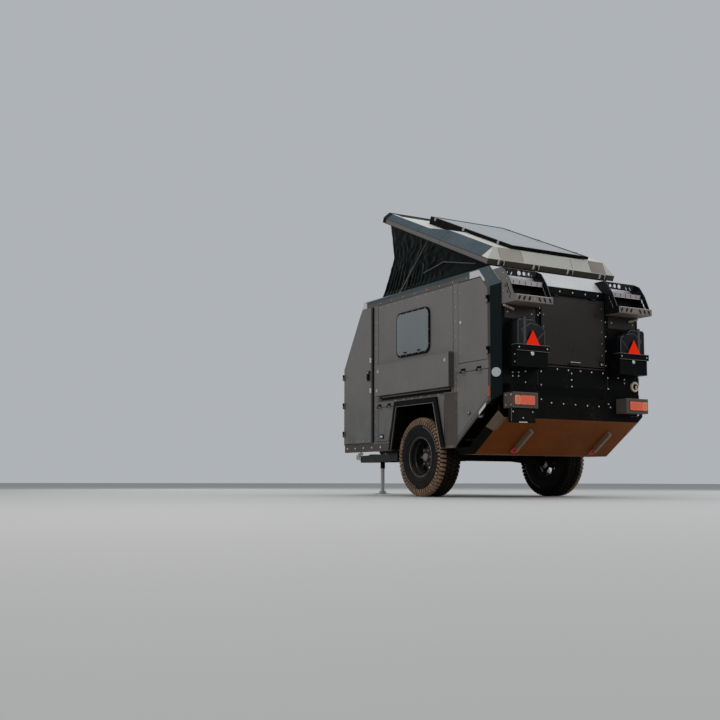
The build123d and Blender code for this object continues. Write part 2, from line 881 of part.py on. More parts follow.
# Suspension: cross beam, trailing arms, brake drums and stub axles
beam_half = arm_in_y - 2
beam = block(pivot_x - beam_w / 2, pivot_x + beam_w / 2, -beam_half, beam_half, pivot_z - pivot_drop, sill_z)
write("axle_beam", beam)
hub_z = tyre_r
arm = prism(
    [
        (pivot_x + arm_root_half, pivot_z - pivot_drop),
        (pivot_x + arm_root_half, pivot_z + arm_root_up),
        (pivot_x - arm_root_half, pivot_z + arm_root_up),
        (arm_tip_front, hub_z + arm_tip_up),
        (-arm_tip_rear, hub_z + arm_tip_up - arm_taper),
        (-arm_tip_rear, hub_z - arm_tip_down + arm_taper),
        (arm_tip_front, hub_z - arm_tip_down),
    ],
    arm_in_y, arm_in_y + arm_w,
)
arm += across(0, hub_z, arm_in_y + arm_w - 1, track_half + stub_out, stub_r)
arm += across(0, hub_z, arm_in_y + arm_w - 1, arm_in_y + arm_w + drum_w, drum_r)
arm += across(pivot_x, pivot_z, beam_half + clearance, arm_in_y + 1, pivot_pin_r)
write("trailing_arms", *both(arm))


def drum(radius, y0, y1):
    """A many-sided disc on the wheel's axis, between two y."""
    plane = Plane((0, y0, 0), x_dir=(1, 0, 0), z_dir=(0, 1, 0))
    sketch = RegularPolygon(radius, wheel_sides, major_radius=False, rotation=180 / wheel_sides)
    return extrude(plane * sketch, amount=y1 - y0)


# Wheels: a deep dished rim with windows and a hub cap, and a lugged tyre
on_hub = Pos(0, track_half, hub_z)
bead_y = tyre_w / 2 - bead_in
rim_end_y = bead_y + flange_w
rim = drum(bead_r, -rim_end_y, rim_end_y) + drum(rim_r, bead_y, rim_end_y) + drum(rim_r, -rim_end_y, -bead_y)
rim -= drum(bead_r - rim_t, -rim_end_y - 1, rim_end_y + 1)
disc = drum(bead_r - rim_t + 1, -disc_t / 2, disc_t / 2)
half_turn = math.radians(rim_window_deg / 2)
rim_window = [
    (r * math.sin(a), r * math.cos(a))
    for r, a in (
        (rim_window_in_r, half_turn), (rim_window_out_r, half_turn),
        (rim_window_out_r, -half_turn), (rim_window_in_r, -half_turn),
    )
]
for i in range(rim_windows):
    disc -= Rot(0, 360 * i / rim_windows, 0) * prism(rim_window, -disc_t, disc_t)
disc += drum(hub_r, 0, stub_out + hub_wall) + drum(cap_hub_r, 0, hub_cap_y)
rim += disc
rim -= across(0, 0, -disc_t, stub_out + stub_gap, stub_r + clearance)
write_pair("rim", on_hub * rim)

tyre = drum(carcass_r, -tyre_w / 2, tyre_w / 2)
side_edges = tyre.edges().group_by(Axis.Y)
tyre = chamfer(side_edges[0] + side_edges[-1], shoulder)
tyre -= drum(bead_r + clearance, -tyre_w, tyre_w)
for y0, radius in ((bead_y - 2, rim_r + clearance), (tyre_w / 2 - wall_recess, wall_ring_r)):
    tyre -= drum(radius, y0, tyre_w)
    tyre -= drum(radius, -tyre_w, -y0)
lug_top = math.sqrt(tyre_r ** 2 - (lug_len / 2) ** 2)
side_lug_y = tyre_w / 2 - lug_w / 2 - lug_inset
# Rows of lugs: middle y, width, length, how many, share of a step that the row lags behind
lug_rows = [
    (side_lug_y, lug_w, lug_len, lug_count, 0),
    (-side_lug_y, lug_w, lug_len, lug_count, 0.5),
    (0, middle_lug_w, middle_lug_len, lug_count // 2, 0.25),
]
for y, width, length, count, lag in lug_rows:
    lug = Pos(0, y, lug_top - shoulder / 2) * Box(length, width, shoulder)
    tyre += [Rot(0, 360 * (i + lag) / count, 0) * lug for i in range(count)]
write_pair("tyre", on_hub * tyre)


def lifted(shape):
    """Turns a piece of the closed roof up about the roof's hinge line."""
    return shape.rotate(Axis((lift_x, 0, lift_z), (0, 1, 0)), -lift_deg)


def roof_point(u, n):
    """A point of the raised roof, from its distance along and above the closed roof's hinge line."""
    turn = math.radians(lift_deg)
    return lift_x + u * math.cos(turn) - n * math.sin(turn), lift_z + u * math.sin(turn) + n * math.cos(turn)


# Lifting roof: a moulded shell, chamfered all round, with a raised rear part.
# One run per row: u from, u to, top height at each end.
skirt_n = shell_low_n + skirt_h
rear_chamfer = chamfer_n - skirt_n
shell_end_u = shell_rear_u + shell_len
shell_runs = [
    (shell_rear_u, shell_rear_u + rear_chamfer, skirt_n + 1, chamfer_n),
    (shell_rear_u + rear_chamfer, step_rear_u, chamfer_n, chamfer_n),
    (step_rear_u, step_front_u, chamfer_n, front_n),
    (step_front_u, shell_end_u, front_n, front_n),
]


def roof_section(u, height, inset):
    """The roof's cross-section: upright skirts, then a chamfer as wide as it is high."""
    half = shell_half - inset
    top_half = half - (height - skirt_n)
    low = shell_low_n - inset / 10
    points = [
        (-half, low), (half, low), (half, skirt_n - inset / 2), (top_half, height - inset),
        (-top_half, height - inset), (-half, skirt_n - inset / 2),
    ]
    return Pos(lift_x + u, 0, lift_z) * (Plane.YZ * make_face(Polyline(*points, close=True)))


def roof_form(inset):
    """The roof's outer form, or with an inset the hollow inside it."""
    form = None
    for i, (u0, u1, height0, height1) in enumerate(shell_runs):
        start = u0 + (inset if i == 0 else 0)
        end = u1 - (inset if i == len(shell_runs) - 1 else 0)
        if inset and i == 0:
            height0 = height0 + inset + 2
        run = loft([roof_section(start, height0, inset), roof_section(end, height1, inset)], ruled=True)
        form = run if form is None else form + run
    return form


shell = roof_form(0) - roof_form(shell_t)
for side in (-1, 1):
    pin_x = lift_x + strut_top_u
    pin_z = lift_z + strut_top_n
    shell += across(pin_x, pin_z, side * (strut_y - strut_eye_half), side * (shell_half - 1), strut_pin_r)
write("lift_roof", lifted(shell))

# Hinge ears behind the roof's rear skirt, on both sides of the deck's lugs
ears = []
for y in lift_lugs_y:
    for inner in (y - lift_lug_half - hinge_gap - lift_ear_t, y + lift_lug_half + hinge_gap):
        ear = block(
            lift_x - lift_lug_r, lift_x + shell_rear_u, inner, inner + lift_ear_t, lift_z, lift_z + lift_ear_n
        )
        ear += across(lift_x, lift_z, inner, inner + lift_ear_t, lift_lug_r)
        ears.append(lifted(ear))
write("lift_hinges", *ears)

# Trim that caps the roof's front end
trim_rear_u = shell_end_u - front_trim_len
trim_front_u = shell_end_u + front_trim_t
trim_sections = [roof_section(u, front_n, -front_trim_t) for u in (trim_rear_u, trim_front_u)]
trim = loft(trim_sections, ruled=True)
trim -= loft([roof_section(trim_rear_u - 1, front_n, 0), roof_section(shell_end_u, front_n, 0)], ruled=True)
write("front_trim", lifted(trim))

panel_len = panel_front_u - panel_rear_u
panel_low_n = chamfer_n + panel_lift
panel_at = Pos(lift_x + (panel_rear_u + panel_front_u) / 2, 0, lift_z + panel_low_n + panel_frame_h / 2)
glass_half = panel_half - panel_frame_w
rails = Box(panel_len, 2 * panel_half, panel_frame_h) - Box(
    panel_len - 2 * panel_frame_w, 2 * glass_half, panel_frame_h + 2
)
rails = panel_at * rails
side_plate = [
    (lift_x + step_rear_u, lift_z + panel_low_n),
    (lift_x + step_front_u, lift_z + front_n),
    (lift_x + panel_front_u, lift_z + front_n),
    (lift_x + panel_front_u, lift_z + panel_low_n),
]
for side in (-1, 1):
    rails += prism(side_plate, *sorted((side * panel_half, side * (panel_half - panel_side_t))))
    for u in (panel_rear_u + panel_foot_in, step_rear_u - panel_foot_in):
        foot_y = side * (panel_half - panel_frame_w / 2)
        rails += block(
            lift_x + u - panel_foot_half, lift_x + u + panel_foot_half,
            foot_y - panel_frame_w / 2, foot_y + panel_frame_w / 2,
            lift_z + chamfer_n, lift_z + panel_low_n,
        )
write("panel_frame", lifted(rails))
solar_plate = Box(panel_len - 2 * panel_frame_w, 2 * glass_half, solar_t)
solar = panel_at * (Pos(0, 0, panel_frame_h / 2 - solar_drop) * solar_plate)
write("solar_panel", lifted(solar))

# Bellows: a thin-walled fabric wedge, open to the roof above and the deck below
x_rear, z_rear = roof_point(bellows_rear_u, shell_low_n - 1)
x_front, z_front = roof_point(bellows_top_u, shell_low_n - 1)
bellows_foot_x = curb_rear_x - curb_t - bellows_rear_gap
bellows_outer = [
    (bellows_low_x, deck_z + clearance),
    (bellows_waist_x, bellows_waist_z),
    (x_front, z_front),
    (x_rear, z_rear),
    (bellows_foot_x, deck_z + clearance),
]
bellows_inner = [
    (bellows_low_x - bellows_t, deck_z - bellows_cut),
    (bellows_waist_x - bellows_t, bellows_waist_z),
    (x_front - bellows_t, z_front + bellows_cut),
    (x_rear + bellows_t, z_rear + bellows_cut),
    (bellows_foot_x + bellows_t, deck_z - bellows_cut),
]
bellows = prism(bellows_outer, -bellows_half, bellows_half)
bellows -= prism(bellows_inner, -bellows_half + bellows_t, bellows_half - bellows_t)
write("bellows", bellows)

# Struts of the lifting roof: a tube on the deck and a rod on the roof
top_x, top_z = roof_point(strut_top_u, strut_top_n)
low = Vector(strut_low_x, strut_y, strut_low_z)
top = Vector(top_x, strut_y, top_z)
reach = (top - low).normalized()
tube_end = low + reach * strut_tube_len


def eye(x, z):
    """The ring at a strut's end, round its pin."""
    ring_part = across(x, z, strut_y - strut_eye_half, strut_y + strut_eye_half, strut_eye_r)
    return ring_part, across(x, z, strut_y - through, strut_y + through, strut_pin_r + clearance)


eye_part, eye_hole = eye(strut_low_x, strut_low_z)
tube_start = low + reach * strut_neck
strut_tube = rod(tube_start, tube_end, strut_tube_r) + eye_part
strut_tube += rod(low + reach * 2, tube_start + reach, strut_rod_r)
strut_tube -= rod(tube_start + reach * strut_rod_gap, tube_end + reach, strut_rod_r + clearance)
write("strut_tubes", *both(strut_tube - eye_hole))
eye_part, eye_hole = eye(top_x, top_z)
strut_rod = rod(tube_end - reach * strut_rod_in, top, strut_rod_r) + eye_part
write("strut_rods", *both(strut_rod - eye_hole))

# Racks on the rear corners: two pierced side plates, a cross plate, a slotted channel and a lamp bar
slope_run = (slope_top_x - rear_face_x) / (deck_z - slope_foot_z)
rack_plate = [
    (slope_top_x - (deck_z - rack_top_z) * slope_run, rack_top_z),
    (rack_top_x, rack_top_z),
    (rack_bend_x, rack_top_z - rack_bend_drop),
    (rack_elbow_x, rack_top_z - rack_elbow_drop),
    (rack_foot_x, rack_low_z + channel_h + rack_foot_rise),
    (rack_x, rack_low_z + channel_h),
    (rack_x, rack_low_z),
    (rear_face_x, rack_low_z),
    (rear_face_x, slope_foot_z),
]


def slanted(x, z, width, height, lean):
    """A slanted slot's (x, z) outline: its middle, width and height, and its lean forwards."""
    return [
        (x - width / 2 - lean, z - height / 2), (x + width / 2 - lean, z - height / 2),
        (x + width / 2 + lean, z + height / 2), (x - width / 2 + lean, z + height / 2),
    ]


plate = prism(rack_plate, rack_out_y - rack_t, rack_out_y)
for step in range(3):
    slot_x = rack_elbow_x + rack_slot_x - rack_slot_step_x * step
    slot_z = rack_low_z + channel_h + rack_slot_rise - rack_slot_step_z * step
    plate -= prism(slanted(slot_x, slot_z, rack_slot_w, rack_slot_h, rack_slot_lean), rack_in_y, rack_out_y + 1)
rack = plate + Pos(0, rack_in_y + rack_t - rack_out_y, 0) * plate
channel = block(rack_x, rack_x + rack_t, rack_in_y, rack_out_y, rack_low_z, rack_low_z + channel_h)
for step in (-3, -2, -1, 1, 2, 3):
    lean = math.copysign(channel_slot_lean, step)
    slot_y = rack_mid_y + channel_slot_step * step
    slot = slanted(slot_y, rack_low_z + channel_h / 2, channel_slot_w, rack_slot_h, lean)
    slot_face = Plane.YZ * make_face(Polyline(*slot, close=True))
    channel -= extrude(Pos(rack_x - 1, 0, 0) * slot_face, amount=rack_t + 2)
rack += channel + block(rack_x, rear_face_x, rack_in_y, rack_out_y, rack_low_z, rack_low_z + rack_t)
cross = block(rack_top_x - rack_t, rack_top_x, rack_in_y, rack_out_y, rack_top_z - cross_drop, rack_top_z)
for step in (-1, 0, 1):
    hole_y = rack_mid_y - cross_hole_in + cross_hole_step * step
    hole = Cylinder(cross_hole_r + cross_hole_step_r * step, 3 * rack_t)
    cross -= Pos(rack_top_x, hole_y, rack_top_z - cross_drop / 2) * (Rot(0, 90, 0) * hole)
rack += cross
write("corner_racks", *both(rack))
rack_lamp_z = rack_top_z - rack_lamp_drop
rack_lamp_x = rack_elbow_x + rack_lamp_d
rack_lamp = block(
    rack_lamp_x, rack_lamp_x + rack_lamp_d, rack_in_y + rack_t, rack_out_y - rack_t,
    rack_lamp_z - rack_lamp_d / 2, rack_lamp_z + rack_lamp_d / 2,
)
write("rack_lamps", *both(rack_lamp))

# Jerry can carriers and their cans
carrier_x = rear_face_x - can_depth - can_room
carrier_in_y = rack_mid_y - carrier_half
carrier_out_y = rack_mid_y + carrier_half
band_z = carrier_low_z + carrier_wall_h
carrier = block(carrier_x, rear_face_x, carrier_in_y, carrier_out_y, carrier_low_z, band_z)
carrier -= block(
    carrier_x + carrier_t, rear_face_x - carrier_t, carrier_in_y + carrier_t, carrier_out_y - carrier_t,
    carrier_low_z + carrier_t, band_z + 1,
)
carrier -= block(
    carrier_x + carrier_reach, rear_face_x - carrier_t, carrier_in_y - 1, carrier_out_y + 1,
    carrier_low_z + carrier_t, band_z + 1,
)
carrier += block(
    rear_face_x - carrier_t, rear_face_x, carrier_in_y, carrier_out_y, carrier_low_z, can_top_z - can_back_drop
)
band_x = carrier_x - band_out
band_end_x = carrier_x + carrier_reach
band = block(band_x, band_end_x, carrier_in_y - band_out, carrier_out_y + band_out, band_z, band_z + band_h)
band -= block(
    band_x + band_t, band_end_x + 1, carrier_in_y - band_out + band_t, carrier_out_y + band_out - band_t,
    band_z - 1, band_z + band_h + 1,
)
band += block(band_x, carrier_x + carrier_t, carrier_in_y, carrier_out_y, band_z, band_z + carrier_t)
write("can_carriers", *both(carrier + band))
triangle_z = band_z + band_h
triangle = [(rack_mid_y - triangle_w / 2, triangle_z), (rack_mid_y + triangle_w / 2, triangle_z)]
triangle.append((rack_mid_y, triangle_z + triangle_h))
triangle_face = Plane.YZ * make_face(Polyline(*triangle, close=True))
triangle_plate = extrude(Pos(band_x, 0, 0) * triangle_face, amount=triangle_t)
can = block(
    carrier_x + carrier_t + can_gap, rear_face_x - carrier_t - clearance,
    rack_mid_y - can_half, rack_mid_y + can_half, carrier_low_z + carrier_t, can_top_z,
)
can = fillet(can.edges().filter_by(Axis.Z), can_corner)
can_in_y = rack_mid_y - can_half
slope = [(can_in_y - can_slope_w, can_top_z - 2 * can_slope_h)]
slope.append((can_in_y + 2 * can_slope_w, can_top_z + can_slope_h))
slope.append((can_in_y - can_slope_w, can_top_z + can_slope_h))
can -= extrude(Plane.YZ * make_face(Polyline(*slope, close=True)), amount=2 * rear_face_x)
write("jerry_cans", *both(can))

# Rear lamps in their boxes, and the number plate holder under the left one
lamp_x = rear_face_x - lamp_depth
lamp_box = block(lamp_x, rear_face_x, lamp_in_y, lamp_out_y, lamp_low_z, lamp_top_z)
write("lamp_boxes", *both(lamp_box))
lens_y = (lamp_in_y + lamp_out_y) / 2
lens_z = (lamp_low_z + lamp_top_z) / 2
lens = block(
    lamp_x - lens_proud, lamp_x, lens_y - lens_w / 2, lens_y + lens_w / 2,
    lens_z - lens_h / 2, lens_z + lens_h / 2,
)
lens = fillet(lens.edges().filter_by(Axis.X), lens_r)
write("tail_lamps", *both(lens))
plate_x = lamp_x + plate_in
holder = block(plate_x, plate_x + plate_depth, plate_in_y, plate_out_y, plate_low_z, lamp_low_z)
write("plate_holder", holder)

# Belly plate: it closes the departure slope underneath, with folded sides
belly_outline = [
    (rear_face_x, belly_top_z + belly_lap),
    (rear_face_x, belly_top_z),
    (belly_low_x, belly_low_z),
    (belly_low_x + belly_run, belly_low_z),
    (belly_low_x + belly_run, belly_low_z + belly_t),
    (belly_low_x + 1, belly_low_z + belly_t),
    (rear_face_x + belly_t, belly_top_z + 2),
    (rear_face_x + belly_t, belly_top_z + belly_lap),
]
belly = prism(belly_outline, -belly_half, belly_half)
for side in (-1, 1):
    fold = [(x, z + belly_fold_z) for x, z in belly_outline]
    edge = outline_face(belly_outline, side * belly_half)
    belly += loft([edge, outline_face(fold, side * belly_fold_y)], ruled=True)
write("belly_plate", belly)

# Recovery arms under the belly plate, each with a bow shackle
slope_len = math.hypot(belly_low_x - rear_face_x, belly_top_z - belly_low_z)
down_x = (belly_low_x - rear_face_x) / slope_len
down_z = (belly_low_z - belly_top_z) / slope_len
under = Plane(origin=(rear_face_x, 0, belly_top_z), x_dir=(down_x, 0, down_z), z_dir=(down_z, 0, -down_x))
eye_x = recovery_start + recovery_len - shackle_eye_in
eye_z = recovery_h / 2
pin_half = recovery_t / 2 + shackle_side_gap + 2 * shackle_rod
bow_points = [
    (eye_x, pin_half - shackle_rod),
    (eye_x + shackle_reach / 3, shackle_half),
    (eye_x + shackle_reach * 3 / 4, shackle_half),
    (eye_x + shackle_reach, shackle_half / 2),
]
bow_points += [(x, -y) for x, y in reversed(bow_points)]
arms = []
shackles = []
for y in recovery_y:
    bar = block(recovery_start, recovery_start + recovery_len, -recovery_t / 2, recovery_t / 2, 0, recovery_h)
    bar -= Pos(eye_x, 0, eye_z) * (Rot(90, 0, 0) * Cylinder(shackle_pin_r + clearance, 2 * recovery_t))
    arms.append(Pos(0, y, 0) * (under * bar))
    bow = rod((eye_x, -pin_half, eye_z), (eye_x, pin_half, eye_z), shackle_pin_r)
    for (xa, ya), (xb, yb) in zip(bow_points, bow_points[1:]):
        bow += rod((xa, ya, eye_z), (xb, yb, eye_z), shackle_rod)
        bow += Pos(xa, ya, eye_z) * Sphere(shackle_rod)
    shackles.append(Pos(0, y, 0) * (under * bow))
write("recovery_arms", *arms)
write("shackles", *shackles)

# Brackets over the upper corners of the edge frame
bracket_low_z = roof_z - bracket_drop
bracket_out_y = body_half + bracket_t
strip = prism(shift_outline(side_outline, [-bracket_edge] * len(side_outline)), body_half, bracket_out_y)
strip -= prism(inner_outline(-bracket_edge), body_half - 1, bracket_out_y + 1)
corners = []
for x0, x1 in (
    (roof_front_x - front_bracket_half, roof_front_x + front_bracket_half),
    (roof_rear_x - rear_bracket_behind, roof_rear_x + rear_bracket_ahead),
):
    corners += both(strip & block(x0, x1, 0, bracket_out_y, bracket_low_z, roof_z))

# Plates at the rear ends of the departure rails
x0 = slope_rear_x + rail_end_from
x1 = slope_rear_x + rail_end_to
rail_end = block(x0, x1, rail_out_y, rail_out_y + bracket_t, sill_z, rear_low_z)
rail_band = prism(side_outline, body_half, body_half + beyond) - prism(departure_cut, 0, body_half + beyond + 1)
write("edge_plates", *corners, *both(rail_end & rail_band))

# Side markers on the rear posts
marker_x = slope_rear_x + edge_w / 2
marker = block(
    marker_x - marker_w / 2, marker_x + marker_w / 2, body_half, body_half + marker_t,
    marker_z - marker_h / 2, marker_z + marker_h / 2,
)
write("side_markers", *both(chamfer(marker.edges().filter_by(Axis.Y), marker_w / 3)))

# Reflectors: triangles on the can carriers, and discs on the rear bevels
bevel_mid = (slope_rear_x - bevel / 2, body_half - bevel / 2, reflector_z)
reflector = Plane(origin=bevel_mid, z_dir=(-1, 1, 0)) * Cylinder(
    reflector_r, reflector_t, align=(Align.CENTER, Align.CENTER, Align.MIN)
)
write("reflectors", *both(triangle_plate), *both(reflector))
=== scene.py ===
import math

import bmesh
import bpy
from mathutils import Matrix, Vector, noise


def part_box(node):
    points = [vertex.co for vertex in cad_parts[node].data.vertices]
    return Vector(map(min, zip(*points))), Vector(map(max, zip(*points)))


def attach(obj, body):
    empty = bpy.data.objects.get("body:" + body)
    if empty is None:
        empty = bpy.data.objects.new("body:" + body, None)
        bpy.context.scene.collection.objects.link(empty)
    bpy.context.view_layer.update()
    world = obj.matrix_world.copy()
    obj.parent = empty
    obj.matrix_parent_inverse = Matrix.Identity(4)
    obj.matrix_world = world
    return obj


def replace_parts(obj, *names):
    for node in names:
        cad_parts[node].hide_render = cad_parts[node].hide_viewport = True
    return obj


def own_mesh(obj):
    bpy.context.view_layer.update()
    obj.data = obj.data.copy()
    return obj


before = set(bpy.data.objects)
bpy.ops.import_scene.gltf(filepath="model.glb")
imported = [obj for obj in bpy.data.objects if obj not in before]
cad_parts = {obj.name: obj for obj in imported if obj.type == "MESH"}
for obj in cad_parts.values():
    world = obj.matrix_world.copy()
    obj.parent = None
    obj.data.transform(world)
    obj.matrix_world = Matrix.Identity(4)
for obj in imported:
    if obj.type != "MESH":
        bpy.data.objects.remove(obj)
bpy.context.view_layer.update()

# Places of the part's own frame, in metres: +X forward, +Y left, +Z up, ground at z = 0
AXLE_X = -0.7265
TRACK_HALF = 0.851
HUB_Z = 0.42
BODY_HALF = 0.978
DECK_Z = 2.278
REAR_X = -1.318 + AXLE_X
LIFT_X = -1.038 + AXLE_X
LIFT_Z = 2.307
LIFT_ANGLE = math.radians(23.7)
SIDES = (("left", 1), ("right", -1))
BACK = (-1, 0, 0)

# Camera at the photograph's viewpoint, with the picture's shift
CAMERA_AT = (-8.8888 + AXLE_X, 6.8883, 0.1633)
CAMERA_YAW = -0.527827
CAMERA_PITCH = 0.085004
CAMERA_ROLL = 0.002193
LENS_MM = 50.165
SHIFT_Y = 0.0497


def colour(r, g, b):
    """A linear colour with full alpha."""
    return (r, g, b, 1.0)


def add_object(name, data):
    """A new object in the scene."""
    made = bpy.data.objects.new(name, data)
    bpy.context.scene.collection.objects.link(made)
    return made


DUST = colour(0.26, 0.17, 0.105)
STREAKS = colour(0.072, 0.075, 0.078)
MUD = colour(0.30, 0.19, 0.12)


class Nodes:
    """Adds and links nodes in one node tree."""

    def __init__(self, tree):
        self.tree = tree

    def feed(self, node, key, value):
        """Sets or links one input, by its name or its index."""
        if isinstance(value, bpy.types.NodeSocket):
            self.tree.links.new(value, node.inputs[key])
        else:
            node.inputs[key].default_value = value

    def add(self, kind, settings=None, **inputs):
        """A node with its settings, and its inputs by name: a value, or an output to link."""
        node = self.tree.nodes.new(kind)
        for key, value in (settings or {}).items():
            setattr(node, key, value)
        for key, value in inputs.items():
            self.feed(node, key.replace("_", " "), value)
        return node

    def numbered(self, kind, settings, inputs, output=0):
        """One output of a node whose inputs go by their index."""
        node = self.add(kind, settings)
        for key, value in inputs:
            self.feed(node, key, value)
        return node.outputs[output]

    def math(self, operation, first, second, clamp=False):
        """A Math node's output."""
        settings = {"operation": operation, "use_clamp": clamp}
        return self.numbered("ShaderNodeMath", settings, enumerate((first, second)))

    def times(self, first, second, clamp=False):
        """The product of two values."""
        return self.math("MULTIPLY", first, second, clamp)

    def mix(self, factor, first, second, blend="MIX"):
        """A colour mix's output."""
        settings = {"data_type": "RGBA", "blend_type": blend}
        return self.numbered("ShaderNodeMix", settings, ((0, factor), (6, first), (7, second)), 2)

    def span(self, value, low, high, to_low=0.0, to_high=1.0):
        """A clamped Map Range's output."""
        numbers = (value, low, high, to_low, to_high)
        return self.numbered("ShaderNodeMapRange", {"clamp": True}, enumerate(numbers))

    def noise(self, vector, scale, detail, rough=0.55):
        """A noise texture's value."""
        made = self.add("ShaderNodeTexNoise", Vector=vector, Scale=scale, Detail=detail, Roughness=rough)
        return made.outputs["Fac"]

    def stretched(self, vector, scale):
        """Coordinates scaled by each axis on its own."""
        return self.add("ShaderNodeMapping", Vector=vector, Scale=scale).outputs[0]

    def placed(self, group, **inputs):
        """One of the shared groups, placed with its own values: its outputs."""
        return self.add("ShaderNodeGroup", {"node_tree": group}, **inputs).outputs


def start_group(name, inputs, outputs):
    """A new shader node group from (socket, kind, default) and (socket, kind): nodes, inputs and coordinates."""
    group = bpy.data.node_groups.new(name, "ShaderNodeTree")
    for label, kind, default in inputs:
        group.interface.new_socket(label, in_out="INPUT", socket_type="NodeSocket" + kind).default_value = default
    for label, kind in outputs:
        group.interface.new_socket(label, in_out="OUTPUT", socket_type="NodeSocket" + kind)
    n = Nodes(group)
    return n, n.add("NodeGroupInput").outputs, n.add("ShaderNodeTexCoord").outputs["Object"]


def make_weathering():
    """Group: road dust, brown low down and streaked above, over a base colour."""
    n, source, place = start_group("weathering", (
        ("Color", "Color", colour(1, 1, 1)), ("Dust Color", "Color", DUST), ("Dust", "Float", 0.3),
        ("Low Z", "Float", 0.4), ("High Z", "Float", 1.5), ("Mottle", "Float", 0.08),
    ), (("Color", "Color"), ("Mask", "Float")))
    height = n.add("ShaderNodeSeparateXYZ", Vector=place).outputs["Z"]
    low = n.span(height, source["Low Z"], source["High Z"], 1.0, 0.0)
    film = n.times(low, n.span(n.noise(place, 5.0, 6.0), 0.3, 0.75))
    streaks = n.noise(n.stretched(place, (34.0, 34.0, 1.6)), 1.0, 3.0)
    runs = n.times(n.span(streaks, 0.52, 0.72), low)
    both = n.math("ADD", film, n.times(runs, 0.55), clamp=True)
    mask = n.times(both, source["Dust"], clamp=True)
    tone = n.span(n.noise(place, 2.2, 5.0), 0.3, 0.7, -1.0, 1.0)
    shade = n.math("ADD", 1.0, n.times(tone, source["Mottle"]))
    grey = n.add("ShaderNodeCombineColor", Red=shade, Green=shade, Blue=shade).outputs[0]
    base = n.mix(1.0, source["Color"], grey, "MULTIPLY")
    n.add("NodeGroupOutput", Color=n.mix(mask, base, source["Dust Color"]), Mask=mask)
    return n.tree


def make_grain():
    """Group: a fine surface texture as a height, coarse and fine noise mixed."""
    n, source, place = start_group(
        "surface_grain", (("Scale", "Float", 120.0), ("Stretch", "Vector", (1.0, 1.0, 1.0))), (("Height", "Float"), )
    )
    mapped = n.stretched(place, source["Stretch"])
    fine = n.noise(mapped, source["Scale"], 3.0, 0.5)
    coarse = n.noise(mapped, n.times(source["Scale"], 0.12), 2.0, 0.5)
    n.add("NodeGroupOutput", Height=n.math("ADD", fine, n.times(coarse, 0.7)))
    return n.tree


def make_edge_wear():
    """Group: rubbed patches, where paint gives way to what is under it."""
    n, source, place = start_group("edge_wear", (
        ("Color", "Color", colour(1, 1, 1)), ("Bare", "Color", colour(0.4, 0.4, 0.4)), ("Amount", "Float", 0.4),
    ), (("Color", "Color"), ("Mask", "Float")))
    patches = n.span(n.noise(place, 38.0, 6.0, 0.65), 0.56, 0.72)
    broad = n.span(n.noise(place, 6.0, 2.0), 0.45, 0.7)
    mask = n.times(n.times(patches, broad), source["Amount"], clamp=True)
    n.add("NodeGroupOutput", Color=n.mix(mask, source["Color"], source["Bare"]), Mask=mask)
    return n.tree


WEATHERING = make_weathering()
GRAIN = make_grain()
EDGE_WEAR = make_edge_wear()
ROUGH_SWING = 0.12
DUST_ROUGH = 0.25
COAT_ROUGH = 0.12
RELIEF_DEPTH = 0.002


def finish(
    name, base, rough, dust, metallic=0.0, coat=0.0, low=0.4, high=1.5, mottle=0.06, dust_colour=DUST, grain=140.0,
    bump=0.12, stretch=(1.0, 1.0, 1.0), wear=0.0, bare=(0.4, 0.4, 0.4), sheen=0.0, specular=0.5,
):
    """A Principled material with weathering, grain and rubbed patches from the shared groups."""
    made = bpy.data.materials.new(name)
    made.use_nodes = True
    n = Nodes(made.node_tree)
    shader = made.node_tree.nodes["Principled BSDF"]
    for key, value in (("Metallic", metallic), ("Coat Weight", coat), ("Coat Roughness", COAT_ROUGH),
                       ("Sheen Weight", sheen), ("Specular IOR Level", specular)):
        shader.inputs[key].default_value = value
    paint = colour(*base)
    if wear:
        paint = n.placed(EDGE_WEAR, Color=paint, Bare=colour(*bare), Amount=wear)["Color"]
    dirty = n.placed(WEATHERING, Color=paint, Dust_Color=dust_colour, Dust=dust, Low_Z=low, High_Z=high, Mottle=mottle)
    texture = n.placed(GRAIN, Scale=grain, Stretch=stretch)["Height"]
    swing = n.span(texture, 0.55, 1.1, rough - ROUGH_SWING, rough + ROUGH_SWING)
    relief = n.add("ShaderNodeBump", Strength=bump, Distance=RELIEF_DEPTH, Height=texture)
    n.feed(shader, "Base Color", dirty["Color"])
    n.feed(shader, "Roughness", n.math("ADD", swing, n.times(dirty["Mask"], DUST_ROUGH), clamp=True))
    n.feed(shader, "Normal", relief.outputs[0])
    return made


# Finishes: base colour, roughness, dust, and what differs from the usual
PANEL = finish("panel_taupe", (0.148, 0.140, 0.134), 0.48, 0.75, low=0.5, high=1.35, mottle=0.07, dust_colour=STREAKS,
               coat=0.06, specular=0.35)
# Darker brown panel: painted shade on the side boxes' rear and under faces, the rear posts' lower sides and two sheets
# by the arch; also given to the outer rails and lamp boxes
SHADE_PANEL = finish("panel_brown_painted_shade", (0.052, 0.043, 0.038), 0.5, 0.15, mottle=0.1, specular=0.35)
EDGE = finish("edge_grey", (0.078, 0.070, 0.066), 0.45, 0.2, mottle=0.08, specular=0.35)
